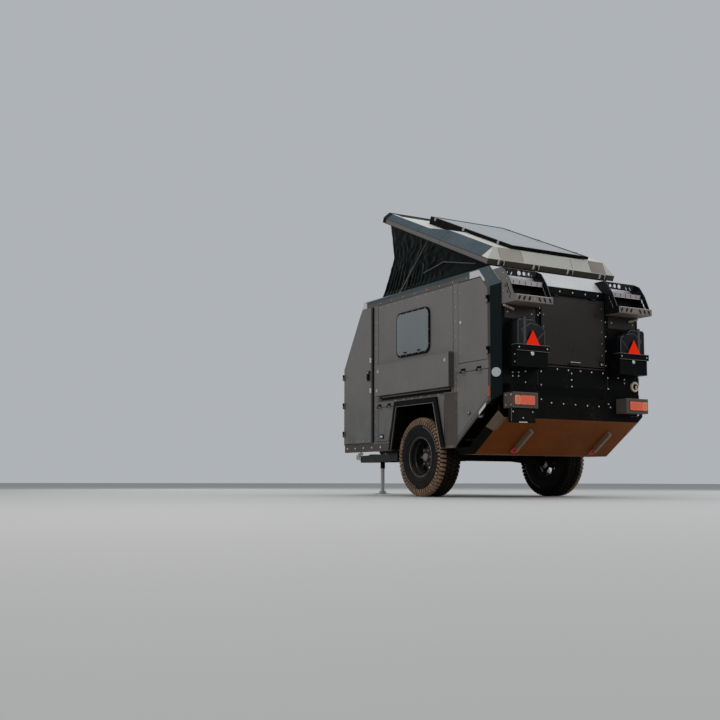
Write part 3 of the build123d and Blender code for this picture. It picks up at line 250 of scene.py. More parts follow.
# Rail and post bevels, one grey extrusion: navy is painted shade, slate on the upper bevels is a painted sky reflection
CORNER_PAINTED_SHADE = finish("corner_navy_painted_shade", (0.0022, 0.0062, 0.0075), 0.4, 0.02, high=1.0, specular=0.08)
CORNER_PAINTED_SKY = finish("corner_slate_painted_sky_reflection", (0.034, 0.055, 0.064), 0.4, 0, coat=0.05, wear=0.2, mottle=0.12, specular=0.25)
BLACK = finish("black_coat", (0.0018, 0.0022, 0.0018), 0.45, 0.02, low=0.5, high=1.2, wear=0.06, specular=0.05)
HATCH = finish("hatch_brown", (0.018, 0.0142, 0.0122), 0.32, 0.05, coat=0.05, mottle=0.1, specular=0.12, grain=30,
               bump=0.03)
RACK = finish("rack_grey", (0.125, 0.121, 0.118), 0.5, 0.1, low=1.7, high=2.3, wear=0.35, grain=420, bump=0.3)
RACK_DUSTY = finish("rack_dusty", (0.135, 0.108, 0.094), 0.52, 0.2, low=1.7, high=2.3, wear=0.3)
# Black of the racks, also painted shade on their plates' inner faces and in the dark slot marks
RACK_BLACK_AND_SHADE = finish("rack_black_and_painted_shade", (0.004, 0.0042, 0.005), 0.42, 0.03, wear=0.12, specular=0.12)
REAR_BROWN = finish("rear_brown", (0.020, 0.015, 0.012), 0.42, 0.1, mottle=0.15, specular=0.2)
SHELL = finish("roof_white", (0.50, 0.485, 0.45), 0.42, 0, mottle=0.05, coat=0.1)
SHELL_BEIGE = finish("roof_beige", (0.27, 0.245, 0.205), 0.42, 0, mottle=0.12)
SHELL_BROWN = finish("roof_brown", (0.19, 0.16, 0.14), 0.42, 0, mottle=0.2)
# Roof shell coloured by the way each face looks: the cream rear face is a painted sky reflection, the slate chamfers
# painted shade
SHELL_REAR_SKY_LIT = finish("roof_rear_painted_sky_light", (0.38, 0.375, 0.335), 0.42, 0, mottle=0.08, coat=0.1)
SHELL_SIDE_SHADED = finish("roof_side_painted_shade", (0.021, 0.044, 0.058), 0.5, 0, mottle=0.1, specular=0.15, grain=40, bump=0.03)
SHELL_SKIRT = finish("roof_skirt_grey", (0.12, 0.113, 0.105), 0.42, 0, mottle=0.1)
SHELL_DARK = finish("roof_rear_strip", (0.036, 0.027, 0.021), 0.5, 0, wear=0.3, mottle=0.25, specular=0.3)
SILVER = finish("silver_sheet", (0.55, 0.555, 0.56), 0.32, 0, metallic=0.2, mottle=0.05, grain=30, bump=0.03)
STEEL = finish("bare_steel", (0.42, 0.41, 0.39), 0.34, 0.1, metallic=0.85, grain=240)
DARK_STEEL = finish("strut_grey", (0.10, 0.09, 0.08), 0.34, 0, metallic=0.3)
# Orange-brown standing for the warm ground reflected in the belly plate: painted reflection; the plate's own colour is
# not known
BELLY = finish("belly_painted_ground_reflection", (0.175, 0.045, 0.0035), 0.5, 0.2, low=0.3, high=0.9, mottle=0.2,
               dust_colour=colour(0.12, 0.045, 0.01), specular=0.1)
ARM = finish("arm_tan", (0.21, 0.155, 0.10), 0.45, 0.2, metallic=0.2, wear=0.4)
PLASTIC = finish("black_plastic", (0.0035, 0.0038, 0.0036), 0.5, 0.03, grain=420, bump=0.2, specular=0.06)
FLOOR_WOOD = finish("floor_ply", (0.2, 0.14, 0.09), 0.6, 0, grain=60, stretch=(1.0, 9.0, 1.0))
FABRIC = finish("tent_cloth", (0.0014, 0.0034, 0.0032), 0.42, 0, grain=900, bump=0.3, specular=0.045)
PANE = finish("window_acrylic", (0.165, 0.185, 0.195), 0.16, 0, grain=6, bump=0.02, specular=0.3)
LAMP = finish("lamp_red", (0.72, 0.115, 0.055), 0.3, 0.05, coat=0.15, grain=90, bump=0.1)
LAMP_ORANGE = finish("lamp_orange", (0.72, 0.21, 0.10), 0.3, 0.05, coat=0.15, grain=90, bump=0.1)
TRIANGLE = finish("reflector_red", (0.86, 0.022, 0.0015), 0.45, 0, mottle=0, grain=260, bump=0.4, specular=0.05)
DISC = finish("reflector_white", (0.37, 0.39, 0.395), 0.3, 0.05, coat=0.2, grain=190, bump=0.5)
AMBER = finish("marker_amber", (0.30, 0.07, 0.018), 0.35, 0.1, coat=0.1, grain=160, bump=0.2)
SOLAR = finish("solar_cells", (0.15, 0.168, 0.18), 0.18, 0, coat=0.7, grain=8, bump=0.01)
TYRE = finish("tyre_wall", (0.0035, 0.0040, 0.0042), 0.62, 0.06, low=0.3, high=1.0, grain=90, bump=0.3, specular=0.12)
TREAD = finish("tread_mud", (0.085, 0.060, 0.043), 0.85, 1.0, low=1.2, high=3.0, mottle=0.35, dust_colour=MUD,
               grain=60, bump=0.8, specular=0.15)
# Dark rubber on the middle lugs and the inner shoulder's lugs: partly clean rubber, partly painted shade of the shaded
# tread
TREAD_DARK_SHADE = finish("tread_rubber_painted_shade", (0.003, 0.0026, 0.0022), 0.8, 0.06, low=0.9, high=2.0, dust_colour=MUD,
                      grain=60, bump=0.7, specular=0.08)
SCUFF = finish("tyre_scuff", (0.19, 0.19, 0.185), 0.7, 0.1, wear=0.6, bare=(0.02, 0.02, 0.02))
SEAM = finish("seam_sealant", (0.012, 0.012, 0.013), 0.7, 0.1, grain=500)
STUD = finish("rivet_zinc", (0.56, 0.56, 0.55), 0.35, 0.1, metallic=0.6, grain=600, bump=0.05)
RUBBER = finish("seal_rubber", (0.007, 0.007, 0.007), 0.7, 0.1, grain=700, bump=0.15, specular=0.3)
# Pale grey for the carrier tray's edges: painted highlights
CARRIER_EDGE_HIGHLIGHT = finish("carrier_edge_painted_highlight", (0.16, 0.155, 0.15), 0.35, 0.1, metallic=0.4, wear=0.4)
LIP = finish("arch_lip", (0.15, 0.15, 0.15), 0.4, 0.2, wear=0.3)
CHROME = finish("latch_chrome", (0.68, 0.68, 0.67), 0.18, 0.05, metallic=0.9, grain=300, bump=0.02)
WEBBING = finish("strap_webbing", (0.02, 0.02, 0.022), 0.75, 0.1, grain=520, bump=0.6, sheen=0.3)
CAN = finish("can_plastic", (0.0020, 0.0023, 0.0032), 0.3, 0.03, grain=260, coat=0.05, specular=0.14)
PLATE_BLACK = finish("plate_black", (0.0022, 0.0030, 0.0020), 0.4, 0.03, specular=0.06)
CAP = finish("inlet_tan", (0.62, 0.47, 0.35), 0.5, 0.1, low=0.6, high=1.4, grain=300)
RIM = finish("rim_black", (0.0030, 0.0044, 0.0048), 0.35, 0.1, low=0.3, high=1.0, coat=0.05, specular=0.25)
# Pale grey ring on the black rim's lip: a painted highlight
RIM_LIP_HIGHLIGHT = finish("rim_lip_painted_highlight", (0.16, 0.16, 0.165), 0.4, 0.1, metallic=0.5, wear=0.3)
HUB_CAP = finish("hub_cap_grey", (0.17, 0.15, 0.155), 0.4, 0.15, metallic=0.1)
SPRING = finish("spring_black", (0.012, 0.012, 0.012), 0.35, 0.3, low=0.3, high=0.8, coat=0.1)
CELL_LINE = finish("cell_line", (0.07, 0.08, 0.09), 0.3, 0, coat=0.5)
BRACKET = finish("bracket_tan", (0.13, 0.085, 0.048), 0.5, 0.2, mottle=0.3, wear=0.3)
BAR_LENS = finish("lamp_bar_lens", (0.30, 0.26, 0.25), 0.3, 0.1, wear=0.3, grain=160, bump=0.2)
# Pale grey on the cans' seams and pressed cross: painted highlights on real edges
CAN_EDGE_HIGHLIGHT = finish("can_seam_painted_highlight", (0.065, 0.065, 0.065), 0.5, 0.1, wear=0.6, bare=(0.01, 0.01, 0.01))
CREAM = finish("tube_cream", (0.42, 0.34, 0.24), 0.5, 0, mottle=0.1)
WELT = finish("welt_grey", (0.11, 0.10, 0.10), 0.7, 0, grain=700)
RED_PAINT = finish("shackle_red", (0.70, 0.030, 0.048), 0.42, 0.05, low=0.5, high=1.6, wear=0.1)

# The plain nodes of each finish: a name that ends with _ has a left and a right
NODE_MATERIALS = {
    PANEL: "side_wall_ front_door_ upper_door_ lower_door_ small_hatch_ side_box_ front_wall roof_deck",
    SHADE_PANEL: "outer_rails lamp_boxes",
    CORNER_PAINTED_SHADE: "roof_rails front_posts rear_posts",
    BLACK: "rear_wall chassis_frame drawbar can_carriers rim_ trailing_arms axle_beam jack_tube panel_frame "
           "wheel_tubs plate_holder door_hinges rack_lamps front_trim",
    SHELL_DARK: "lift_hinges",
    HATCH: "tail_hatch",
    RACK: "corner_racks",
    SHELL: "lift_roof",
    SILVER: "rear_slope edge_plates",
    STEEL: "coupling_head jack_leg",
    DARK_STEEL: "strut_rods strut_tubes",
    BELLY: "belly_plate",
    ARM: "recovery_arms",
    PLASTIC: "arch_flares window_frames jerry_cans",
    FLOOR_WOOD: "floor_panel",
    FABRIC: "bellows",
    PANE: "window_panes",
    LAMP: "tail_lamps",
    RED_PAINT: "shackles",
    TRIANGLE: "reflectors",
    AMBER: "side_markers",
    SOLAR: "solar_panel",
    TYRE: "tyre_",
}
for material, names in NODE_MATERIALS.items():
    for name in names.split():
        for label in ("left", "right") if name.endswith("_") else ("", ):
            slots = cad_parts[name + label].data.materials
            slots.clear()
            slots.append(material)

# The raised roof's own frame: along it from its hinge, across it, and up from it
ROOF = Matrix.Translation((LIFT_X, 0, LIFT_Z)) @ Matrix.Rotation(-LIFT_ANGLE, 4, "Y")
ROOF_ALONG = ROOF.col[0].xyz
ROOF_UP = ROOF.col[2].xyz


def on_roof(u, y, n):
    """A point on the raised roof, from its distance along, across and above the hinge line."""
    return ROOF @ Vector((u, y, n))


def in_roof(point):
    """A point's place in the raised roof's frame."""
    return ROOF.inverted() @ point


# Faces of plain nodes that have another finish, chosen by the face's middle and its way out
PAINTED_FACES = (
    ("roof_rails front_posts rear_posts", EDGE, lambda middle, out: abs(out.y) > 0.9),
    # Upper bevels of rails and posts: slate, a painted sky reflection
    ("roof_rails", CORNER_PAINTED_SKY, lambda middle, out: abs(out.y) <= 0.9),
    ("front_posts", CORNER_PAINTED_SKY, lambda middle, out: abs(out.y) <= 0.9 and middle.z > 1.5),
    # Lower sides of the rear posts: painted shade
    ("rear_posts", SHADE_PANEL, lambda middle, out: abs(out.y) > 0.9 and middle.z < 2.0),
    ("rear_posts", CORNER_PAINTED_SKY, lambda middle, out: abs(out.y) <= 0.9 and middle.z > 2.07),
    ("front_door_left front_door_right", RUBBER, lambda middle, out: out.x < -0.9),
    # Rear and under faces of the side boxes: painted shade
    ("side_box_left side_box_right", SHADE_PANEL, lambda middle, out: out.x < -0.9 or out.z < -0.9),
    ("reflectors", DISC, lambda middle, out: middle.z < 1.3),
    ("rear_wall", CAP, lambda middle, out: middle.x < REAR_X - 0.0005),
    # Inner faces of the racks' plates: painted shade
    ("corner_racks", RACK_BLACK_AND_SHADE, lambda middle, out: abs(middle.y) > 0.446 and out.y * middle.y <= 0),
    ("corner_racks", RACK_BLACK_AND_SHADE, lambda middle, out: abs(middle.y) < 0.6 and abs(out.y) > 0.9),
    ("corner_racks", RACK_DUSTY, lambda middle, out: middle.z < 1.95 and (out.x < -0.9 or out.z < -0.9)),
    ("corner_racks", RACK_BLACK_AND_SHADE, lambda middle, out: middle.z > 2.1 and abs(out.x) > 0.9),
    ("belly_plate", BLACK, lambda middle, out: abs(out.y) > 0.8 or out.x < -0.95),
    ("belly_plate", BLACK, lambda middle, out: 0.4 < abs(out.y) < 0.8),
    ("outer_rails", BLACK, lambda middle, out: out.z < -0.3),
    ("floor_panel", BLACK, lambda middle, out: out.z < -0.3 or abs(out.x) > 0.3),
    # Roof shell faces by their facing: slate chamfers are painted shade, the cream rear face a painted sky reflection
    ("lift_roof", SHELL_SIDE_SHADED, lambda middle, out: abs(out.y) > 0.3),
    ("lift_roof", SHELL_SKIRT, lambda middle, out: abs(out.y) > 0.9),
    ("lift_roof", SHELL_REAR_SKY_LIT, lambda middle, out: in_roof(middle).x < 0.13 and in_roof(middle).z > 0.065),
    ("lift_roof", SHELL_DARK, lambda middle, out: in_roof(middle).x < 0.03 and in_roof(middle).z < 0.065),
)
for names, material, chosen in PAINTED_FACES:
    for name in names.split():
        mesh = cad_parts[name].data
        mesh.materials.append(material)
        for face in mesh.polygons:
            if chosen(face.center, face.normal):
                face.material_index = len(mesh.materials) - 1


def at(x, y, z):
    """A point in the part's frame, from its distance ahead of the axle."""
    return Vector((x + AXLE_X, y, z))


def circle(count, radius=1.0):
    """Points round a circle, as (x, y)."""
    turns = [2 * math.pi * i / count for i in range(count)]
    return [(radius * math.cos(turn), radius * math.sin(turn)) for turn in turns]


def facing(place, axis):
    """A frame at a place, with its Z along an axis."""
    return Matrix.Translation(place) @ Vector(axis).to_track_quat("Z", "Y").to_matrix().to_4x4()


def row(start, end, count):
    """Evenly spaced points from start to end."""
    return [start.lerp(end, i / max(count - 1, 1)) for i in range(count)]


def sheet_corners(spot, low, high, y0, y1):
    """Corners of a sheet between two lines across: each line's place along and up, set by spot."""
    (along_0, up_0), (along_1, up_1) = low, high
    return [spot(along_0, y0, up_0), spot(along_0, y1, up_0), spot(along_1, y1, up_1), spot(along_1, y0, up_1)]


SMOOTH_ANGLE = 0.6


class Form:
    """Gathers shapes of several materials into one piece that rides on one body."""

    def __init__(self, name, body):
        self.name = name
        self.body = body
        self.mesh = bmesh.new()
        self.materials = []

    def keep(self, faces, material):
        """Gives new faces their material."""
        if material not in self.materials:
            self.materials.append(material)
        for face in faces:
            face.material_index = self.materials.index(material)
            face.smooth = True

    def ring(self, points):
        """New vertices at points."""
        return [self.mesh.verts.new(point) for point in points]

    def skin(self, rings, material, caps=False):
        """Faces from ring to ring of vertices, with a cap on the first and the last."""
        faces = [self.mesh.faces.new(rings[0]), self.mesh.faces.new(rings[-1])] if caps else []
        for low, high in zip(rings, rings[1:]):
            for i in range(len(low)):
                corners = list(dict.fromkeys((low[i - 1], low[i], high[i], high[i - 1])))
                if len(corners) > 2:
                    faces.append(self.mesh.faces.new(corners))
        self.keep(faces, material)
        return faces

    def round_off(self, edges, size, material, clamp=False):
        """Rounds edges off."""
        made = bmesh.ops.bevel(
            self.mesh, geom=edges, offset=size, segments=2, profile=0.6, affect="EDGES", clamp_overlap=clamp
        )
        self.keep({face for vert in made["verts"] for face in vert.link_faces}, material)

    def box(self, low, high, material, edge=0.0):
        """A block between two corners, in any order, with its edges rounded off."""
        low, high = Vector([*map(min, low, high)]), Vector([*map(max, low, high)])
        matrix = Matrix.Translation((low + high) / 2) @ Matrix.Diagonal((*(high - low), 1.0))
        made = bmesh.ops.create_cube(self.mesh, size=1.0, matrix=matrix)
        faces = {face for vert in made["verts"] for face in vert.link_faces}
        self.keep(faces, material)
        if edge:
            self.round_off(list({side for face in faces for side in face.edges}), edge, material, clamp=True)

    def lathe(self, place, axis, rows, material, sides=20, closed=False):
        """A turned form: rows of (radius, distance along the axis) from place."""
        turn = facing(place, axis)
        rings = []
        for radius, along in rows:
            ring = self.ring(turn @ Vector((x, y, along)) for x, y in (circle(sides, radius) if radius else [(0, 0)]))
            rings.append(ring if radius else ring * sides)
        self.skin(rings + [rings[0]] if closed else rings, material)

    def bar(self, start, end, radius, material, sides=12):
        """A round bar with flat ends."""
        along = Vector(end) - Vector(start)
        self.lathe(start, along, [(0, 0), (radius, 0), (radius, along.length), (0, along.length)], material, sides)

    def bent_bar(self, points, radius, material, sides=10):
        """A round bar that follows points, with a mitre at each bend."""
        rings = []
        side = None
        for i, point in enumerate(points):
            along = (points[min(i + 1, len(points) - 1)] - points[max(i - 1, 0)]).normalized()
            side = along.orthogonal() if side is None else side
            side = (side - along * side.dot(along)).normalized()
            up = along.cross(side)
            rings.append(self.ring(point + side * x + up * y for x, y in circle(sides, radius)))
        self.skin(rings, material, caps=True)

    def plate(self, corners, out, thickness, material, edge=0.0):
        """A flat plate: its outline's corners, and its thickness towards out."""
        step = Vector(out).normalized() * thickness
        faces = self.skin([self.ring(corners), self.ring(corner + step for corner in corners)], material, caps=True)
        if edge:
            self.round_off(list(faces[1].edges), edge, material)

    def rivet(self, place, out, radius, material=STUD):
        """A domed rivet head."""
        height = radius * 0.55
        rows = [(radius, 0), (radius, height * 0.3), (radius * 0.7, height * 0.8), (0, height)]
        self.lathe(place, out, rows, material, 10)

    def bolt(self, place, out, radius, material=STUD):
        """A hexagon bolt head on its washer."""
        self.lathe(place, out, [(radius * 1.35, 0), (radius * 1.35, radius * 0.22), (0, radius * 0.22)], material, 14)
        rows = [(radius, radius * 0.2), (radius, radius * 0.75), (radius * 0.85, radius * 0.9), (0, radius * 0.9)]
        self.lathe(place, out, rows, material, 6)

    def done(self):
        """Makes the object and lets it ride on its body."""
        bmesh.ops.recalc_face_normals(self.mesh, faces=self.mesh.faces)
        for side in self.mesh.edges:
            side.smooth = len(side.link_faces) == 2 and side.calc_face_angle(0.0) < SMOOTH_ANGLE
        data = bpy.data.meshes.new(self.name)
        self.mesh.to_mesh(data)
        self.mesh.free()
        for material in self.materials:
            data.materials.append(material)
        piece = add_object(self.name, data)
        flat = piece.modifiers.new("flat_faces", "WEIGHTED_NORMAL")
        flat.keep_sharp = True
        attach(piece, self.body)
        return piece


class Surface:
    """An upright face of the trailer: parts go on it by their place along, their height and how far they stand out."""

    def __init__(self, form, spot, out):
        self.form = form
        self.spot = spot
        self.out = out

    def layer(self, low, high, material, edge, *patches):
        """Blocks from one distance out to another: each patch is from, to, foot and top."""
        for start, end, foot, top in patches:
            self.form.box(self.spot(start, foot, low), self.spot(end, top, high), material, edge)

    def places(self, lines, out):
        """Single places (along, height), and rows of them with another place and a count."""
        for line in lines:
            along, height, last_along, last_height, count = line if len(line) == 5 else (*line, *line, 1)
            yield from row(self.spot(along, height, out), self.spot(last_along, last_height, out), count)

    def rivets(self, radius, *lines, out=0.0):
        """Rivets, singly or in rows."""
        for place in self.places(lines, out):
            self.form.rivet(place, self.out, radius)

    def bolts(self, radius, *lines, out=0.0, material=STUD):
        """Bolts, singly or in rows."""
        for place in self.places(lines, out):
            self.form.bolt(place, self.out, radius, material)

    def turned(self, along, height, out, rows, material, sides):
        """A turned part that stands on the face."""
        self.form.lathe(self.spot(along, height, out), self.out, rows, material, sides)

    def line(self, start, end, out, radius, material, sides):
        """A thin round bar along the face, between two places."""
        self.form.bar(self.spot(*start, out), self.spot(*end, out), radius, material, sides)

    def slot(self, along, height, half_up, half_across, lean, material):
        """A thin rounded slot mark, upright or leaning: its half height, half width and the lean of its top."""
        corners = []
        for across, up in circle(16):
            wide = math.copysign(abs(across) ** 0.6, across) * half_across
            corners.append(self.spot(along + wide + up * lean, height + up * half_up, 0))
        self.form.plate(corners, self.out, 0.0006, material)


def side_surface(form, side, face):
    """A side of the trailer, by its distance from the middle: along is ahead of the axle."""
    return Surface(form, lambda x, z, out: at(x, side * (face + out), z), (0, side, 0))


def rear_surface(form, x):
    """A face that looks back, in the frame's own x: along is across the trailer."""
    return Surface(form, lambda y, z, out: Vector((x - out, y, z)), BACK)


# Left and right sides: seams, rivets, seals, latches and locks
SEAM_T = 0.0012
SEAM_HALF = 0.0025
ARCH_LIP = ((0.524, 0.512), (0.413, 0.979), (-0.298, 0.979), (-0.430, 0.512))


def side_seams(wall):
    """Dark joints between the side wall's sheets, as thin strips of sealant, a rubber strip by the front door, and two
    overlaid sheets of painted shade.
    """
    upright = ((0.83, 1.484, 2.165), (0.83, 0.60, 1.05), (-0.63, 0.72, 2.165), (0.937, 0.6, 2.165), (-0.463, 0.6, 0.99))
    level = ((-0.63, 0.83, 2.165), (-0.63, 0.83, 1.484), (-0.463, 0.83, 1.062))
    wall.layer(0, SEAM_T, SEAM, 0, *((x - SEAM_HALF, x + SEAM_HALF, foot, top) for x, foot, top in upright))
    wall.layer(0, SEAM_T, SEAM, 0, *((start, end, z - SEAM_HALF, z + SEAM_HALF) for start, end, z in level))
    # Rubber strip beside the front door: partly seal, partly painted shade widening the dark channel between door and
    # post
    wall.layer(0, SEAM_T, RUBBER, 0, (0.922, 0.9405, 0.612, 2.155))
    # Two sheets above the arch and between the flare and the lower door: painted shade
    wall.layer(0, 0.002, SHADE_PANEL, 0.0008, (-0.455, 0.82, 1.066, 1.112), (-0.695, -0.468, 0.53, 1.06))


def side_rivets(wall):
    """Rivets in the side wall, its posts and its sill, and the cover strip along its top."""
    wall.rivets(0.006, *((0.885, z) for z in (1.98, 1.83, 1.68, 1.53, 0.98, 0.84, 0.70)))
    wall.rivets(0.005, *((-0.672, z) for z in (2.08, 1.93, 1.78, 1.63, 1.30, 1.15, 1.0, 0.85)))
    wall.rivets(0.0045, (-0.58, 2.142, 0.79, 2.142, 10), (-0.40, 1.082, 0.78, 1.082, 9))
    wall.bolts(0.009, (0.60, 0.546, 1.54, 0.546, 6))
    wall.rivets(0.005, (1.02, 2.190, -0.86, 2.190, 9))
    # Cover strip in the bevels' slate: a painted sky reflection
    wall.layer(0, 0.0012, CORNER_PAINTED_SKY, 0, (-1.04, 1.10, 2.214, 2.2425))


def window_details(wall):
    """Screws round the window's frame and the two stays of its pane."""
    x0, x1, z0, z1 = -0.208, 0.418, 1.532, 1.998
    wall.rivets(0.004, *((x0 + 0.07, z, x1 - 0.07, z, 5) for z in (z1, z0)), out=0.014)
    wall.rivets(0.004, *((x, z0 + 0.08, x, z1 - 0.08, 3) for x in (x0, x1)), out=0.014)
    wall.layer(0.020, 0.027, PLASTIC, 0.003, *((x - 0.03, x + 0.03, z0 + 0.022, z0 + 0.036) for x in (-0.03, 0.24)))


def flare_details(wall):
    """The pale lip round the arch's opening, and the bolts above the flare."""
    wall.form.bent_bar([wall.spot(x, z, 0.0275) for x, z in ARCH_LIP], 0.0035, LIP, 8)
    wall.rivets(0.0075, (-0.36, 1.056, 0.47, 1.056, 6))


def front_door_details(door):
    """Seals, paddle latch with its lock, strikers and rivets of a front door."""
    # Rubber strips at the door's rear edge: partly seal, partly painted shade of the channel between door and post
    door.layer(0, 0.0015, RUBBER, 0, (0.9465, 0.958, 0.612, 2.155))
    door.layer(-0.016, -0.004, RUBBER, 0, (0.9415, 0.9458, 0.612, 2.155))
    door.layer(0.0122, 0.016, PLASTIC, 0.0018, (0.981, 1.031, 1.318, 1.426))
    door.layer(0.0162, 0.027, PLASTIC, 0.004, (0.989, 1.023, 1.330, 1.392))
    door.turned(1.006, 1.408, 0.0162, [(0.009, 0), (0.009, 0.004), (0, 0.005)], CHROME, 16)
    door.layer(0.0016, 0.007, CHROME, 0.002, *((0.950, 0.985, z - 0.028, z + 0.028) for z in (1.55, 1.20)))
    door.rivets(0.005, (1.575, 0.70, 1.575, 1.44, 7), (1.01, 0.628, 1.54, 0.628, 5))


def side_box_details(box):
    """Folded lip, locks and catch of a side box."""
    box.layer(0, 0.001, PANEL, 0.0004, (-0.64, 0.805, 1.448, 1.470), (-0.64, 0.805, 1.120, 1.136),
              (-0.64, -0.624, 1.136, 1.448), (0.789, 0.805, 1.136, 1.448))
    for x in (-0.57, 0.735):
        box.turned(x, 1.395, 0, [(0.017, 0), (0.017, 0.0012), (0.012, 0.0018), (0, 0.0018)], CHROME, 20)
        box.layer(0.0018, 0.0022, SEAM, 0, (x - 0.0015, x + 0.0015, 1.388, 1.402))
    box.layer(0.001, 0.002, CHROME, 0.0004, (0.746, 0.774, 1.165, 1.195))


def upper_door_details(door):
    """Lock and rivets of an upper rear door."""
    door.turned(-0.761, 1.752, 0.0082, [(0.012, 0), (0.009, 0.004), (0, 0.004)], CHROME, 18)
    door.turned(-0.761, 1.752, 0, [(0.020, 0), (0.020, 0.004), (0.0125, 0.007)], STEEL, 20)
    door.rivets(0.0042, *((-0.742, z) for z in (2.06, 1.91, 1.60, 1.45)))


def lower_door_details(door):
    """Latch and rivets of a lower rear door."""
    door.layer(0, 0.006, PLASTIC, 0.003, (-0.914, -0.872, 0.818, 0.848))
    door.layer(0.006, 0.013, CHROME, 0.002, (-0.908, -0.884, 0.834, 0.843), (-0.906, -0.896, 0.822, 0.830))
    door.rivets(0.0042, (-0.704, 0.86, -0.704, 1.21, 4))


def small_hatch_details(hatch):
    """Latch at the foot of a small hatch, and its rivets."""
    hatch.layer(0, 0.006, PLASTIC, 0.003, (0.715, 0.785, 0.640, 0.690))
    hatch.layer(0.006, 0.013, CHROME, 0.003, (0.727, 0.773, 0.650, 0.676))
    hatch.rivets(0.0042, (0.862, 0.65, 0.862, 0.94, 3))


# What opens on each side: its body, how far its face stands out from the wall, and its details
OPENING_PARTS = (
    ("front_door", 0.020, front_door_details), ("side_box", 0.068, side_box_details),
    ("upper_door", 0.0, upper_door_details), ("lower_door", 0.0, lower_door_details),
    ("small_hatch", 0.0, small_hatch_details),
)
for label, side in SIDES:
    wall_form = Form(f"side_fittings_{label}", "body")
    for details in (side_seams, side_rivets, window_details, flare_details):
        details(side_surface(wall_form, side, BODY_HALF))
    wall_form.done()
    for body, stands_out, details in OPENING_PARTS:
        door_form = Form(f"{body}_fittings_{label}", f"{body}_{label}")
        details(side_surface(door_form, side, BODY_HALF + stands_out))
        door_form.done()

# Rear: bolt rows, hatch fittings, lamps, plate, cans and rack lamps
HATCH_FACE = REAR_X - 0.012
CAN_LOW, CAN_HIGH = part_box("jerry_cans")
LAMP_LOW, LAMP_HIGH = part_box("tail_lamps")
RACK_LAMP_LOW, RACK_LAMP_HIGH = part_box("rack_lamps")
LENS_MID = 0.7465
LENS_HALF = 0.125
LENS_CORNER = 0.014
LENS_RIM = 0.0016
QUARTER_STEPS = 4
RACK_MID = 0.665
RACK_INNER, RACK_OUTER = 0.445, 0.885
CARRIER_HALF = 0.204
EDGE_BEAD = 0.0022
STRAP_HALF = 0.016
STRAP_T = 0.0024
# Bolts on the rear wall, as (y, z)
WALL_BOLTS = (
    (0.771, 1.215), (0.699, 1.219), (0.771, 1.180), (0.700, 1.183), (0.820, 1.272), (0.757, 1.290), (0.613, 1.232),
    (0.615, 1.127), (0.417, 1.244), (0.419, 1.112), (0.207, 1.278), (0.062, 1.273), (0.021, 1.245), (0.022, 1.179),
    (0.020, 1.112), (-0.098, 1.274), (-0.248, 1.271), (-0.402, 1.269), (-0.468, 1.226), (-0.473, 1.112),
    (-0.613, 1.232), (-0.699, 1.219), (-0.700, 1.183), (0.417, 0.968), (0.289, 0.938), (0.133, 0.934),
    (-0.024, 0.931), (-0.183, 0.928), (-0.340, 0.927), (-0.473, 0.956), (-0.500, 0.924),
)
# A can's outline seen from behind, as (y, z), from its outer foot over its top to its inner foot
CAN_OUTLINE = (
    (0.829, CAN_LOW.z), (0.829, 1.696), (0.812, 1.712), (0.642, 1.712), (0.588, 1.669), (0.514, 1.632),
    (0.502, 1.606), (0.502, CAN_LOW.z),
)
CAN_GRIP = ((0.805, 1.706), (0.792, 1.7275), (0.655, 1.7275), (0.640, 1.706))
CAN_CROSS = (
    ((0.789, 1.613), (0.706, 1.473)), ((0.518, 1.597), (0.640, 1.473)), ((0.789, 1.613), (0.677, 1.679)),
    ((0.677, 1.679), (0.588, 1.664)),
)


def rear_wall_details(wall):
    """Bolts, foot sheets, seams and folded edges of the rear wall, and the inlet's flap."""
    wall.bolts(0.0062, *WALL_BOLTS)
    wall.layer(-0.003, 0, BLACK, 0.0006, (-0.898, 0.898, 0.901, 1.1035), (-0.880, 0.880, 0.8385, 0.901))
    for _, side in SIDES:
        wall.bolts(0.0055, (side * 0.448, 1.35, side * 0.448, 1.80, 4))
        wall.layer(0, 0.0015, SEAM, 0, (side * 0.461 - 0.002, side * 0.461 + 0.002, 1.11, 1.24))
        wall.layer(0, 0.004, REAR_BROWN, 0.001, (side * 0.675 - 0.19, side * 0.675 + 0.19, 1.742, 1.868))
        wall.bolts(0.005, (side * 0.53, 1.80), (side * 0.83, 1.80), out=0.004)
    wall.layer(0, 0.010, BLACK, 0.004, (-0.432, 0.432, 2.028, 2.102))
    wall.bolts(0.006, (-0.34, 2.062, 0.34, 2.062, 5), out=0.010)
    wall.layer(0, 0.006, STEEL, 0.002, *((0.420, 0.431, z - 0.008, z + 0.008) for z in (1.87, 1.82)))
    wall.layer(0, 0.008, REAR_BROWN, 0.002, (-0.427, 0.427, 1.296, 1.308))
    flap = [(0.050, 0), (0.050, 0.003), (0.040, 0.005), (0.038, 0.003), (0, 0.003)]
    wall.turned(-0.836, 1.15, 0.016, flap, CAP, 36)
    wall.turned(-0.836, 1.15, 0.016, [(0.030, 0.003), (0.030, 0.009), (0.026, 0.011), (0, 0.011)], PLASTIC, 28)
    wall.layer(0.026, 0.033, CAP, 0.003, (-0.845, -0.827, 1.126, 1.160))


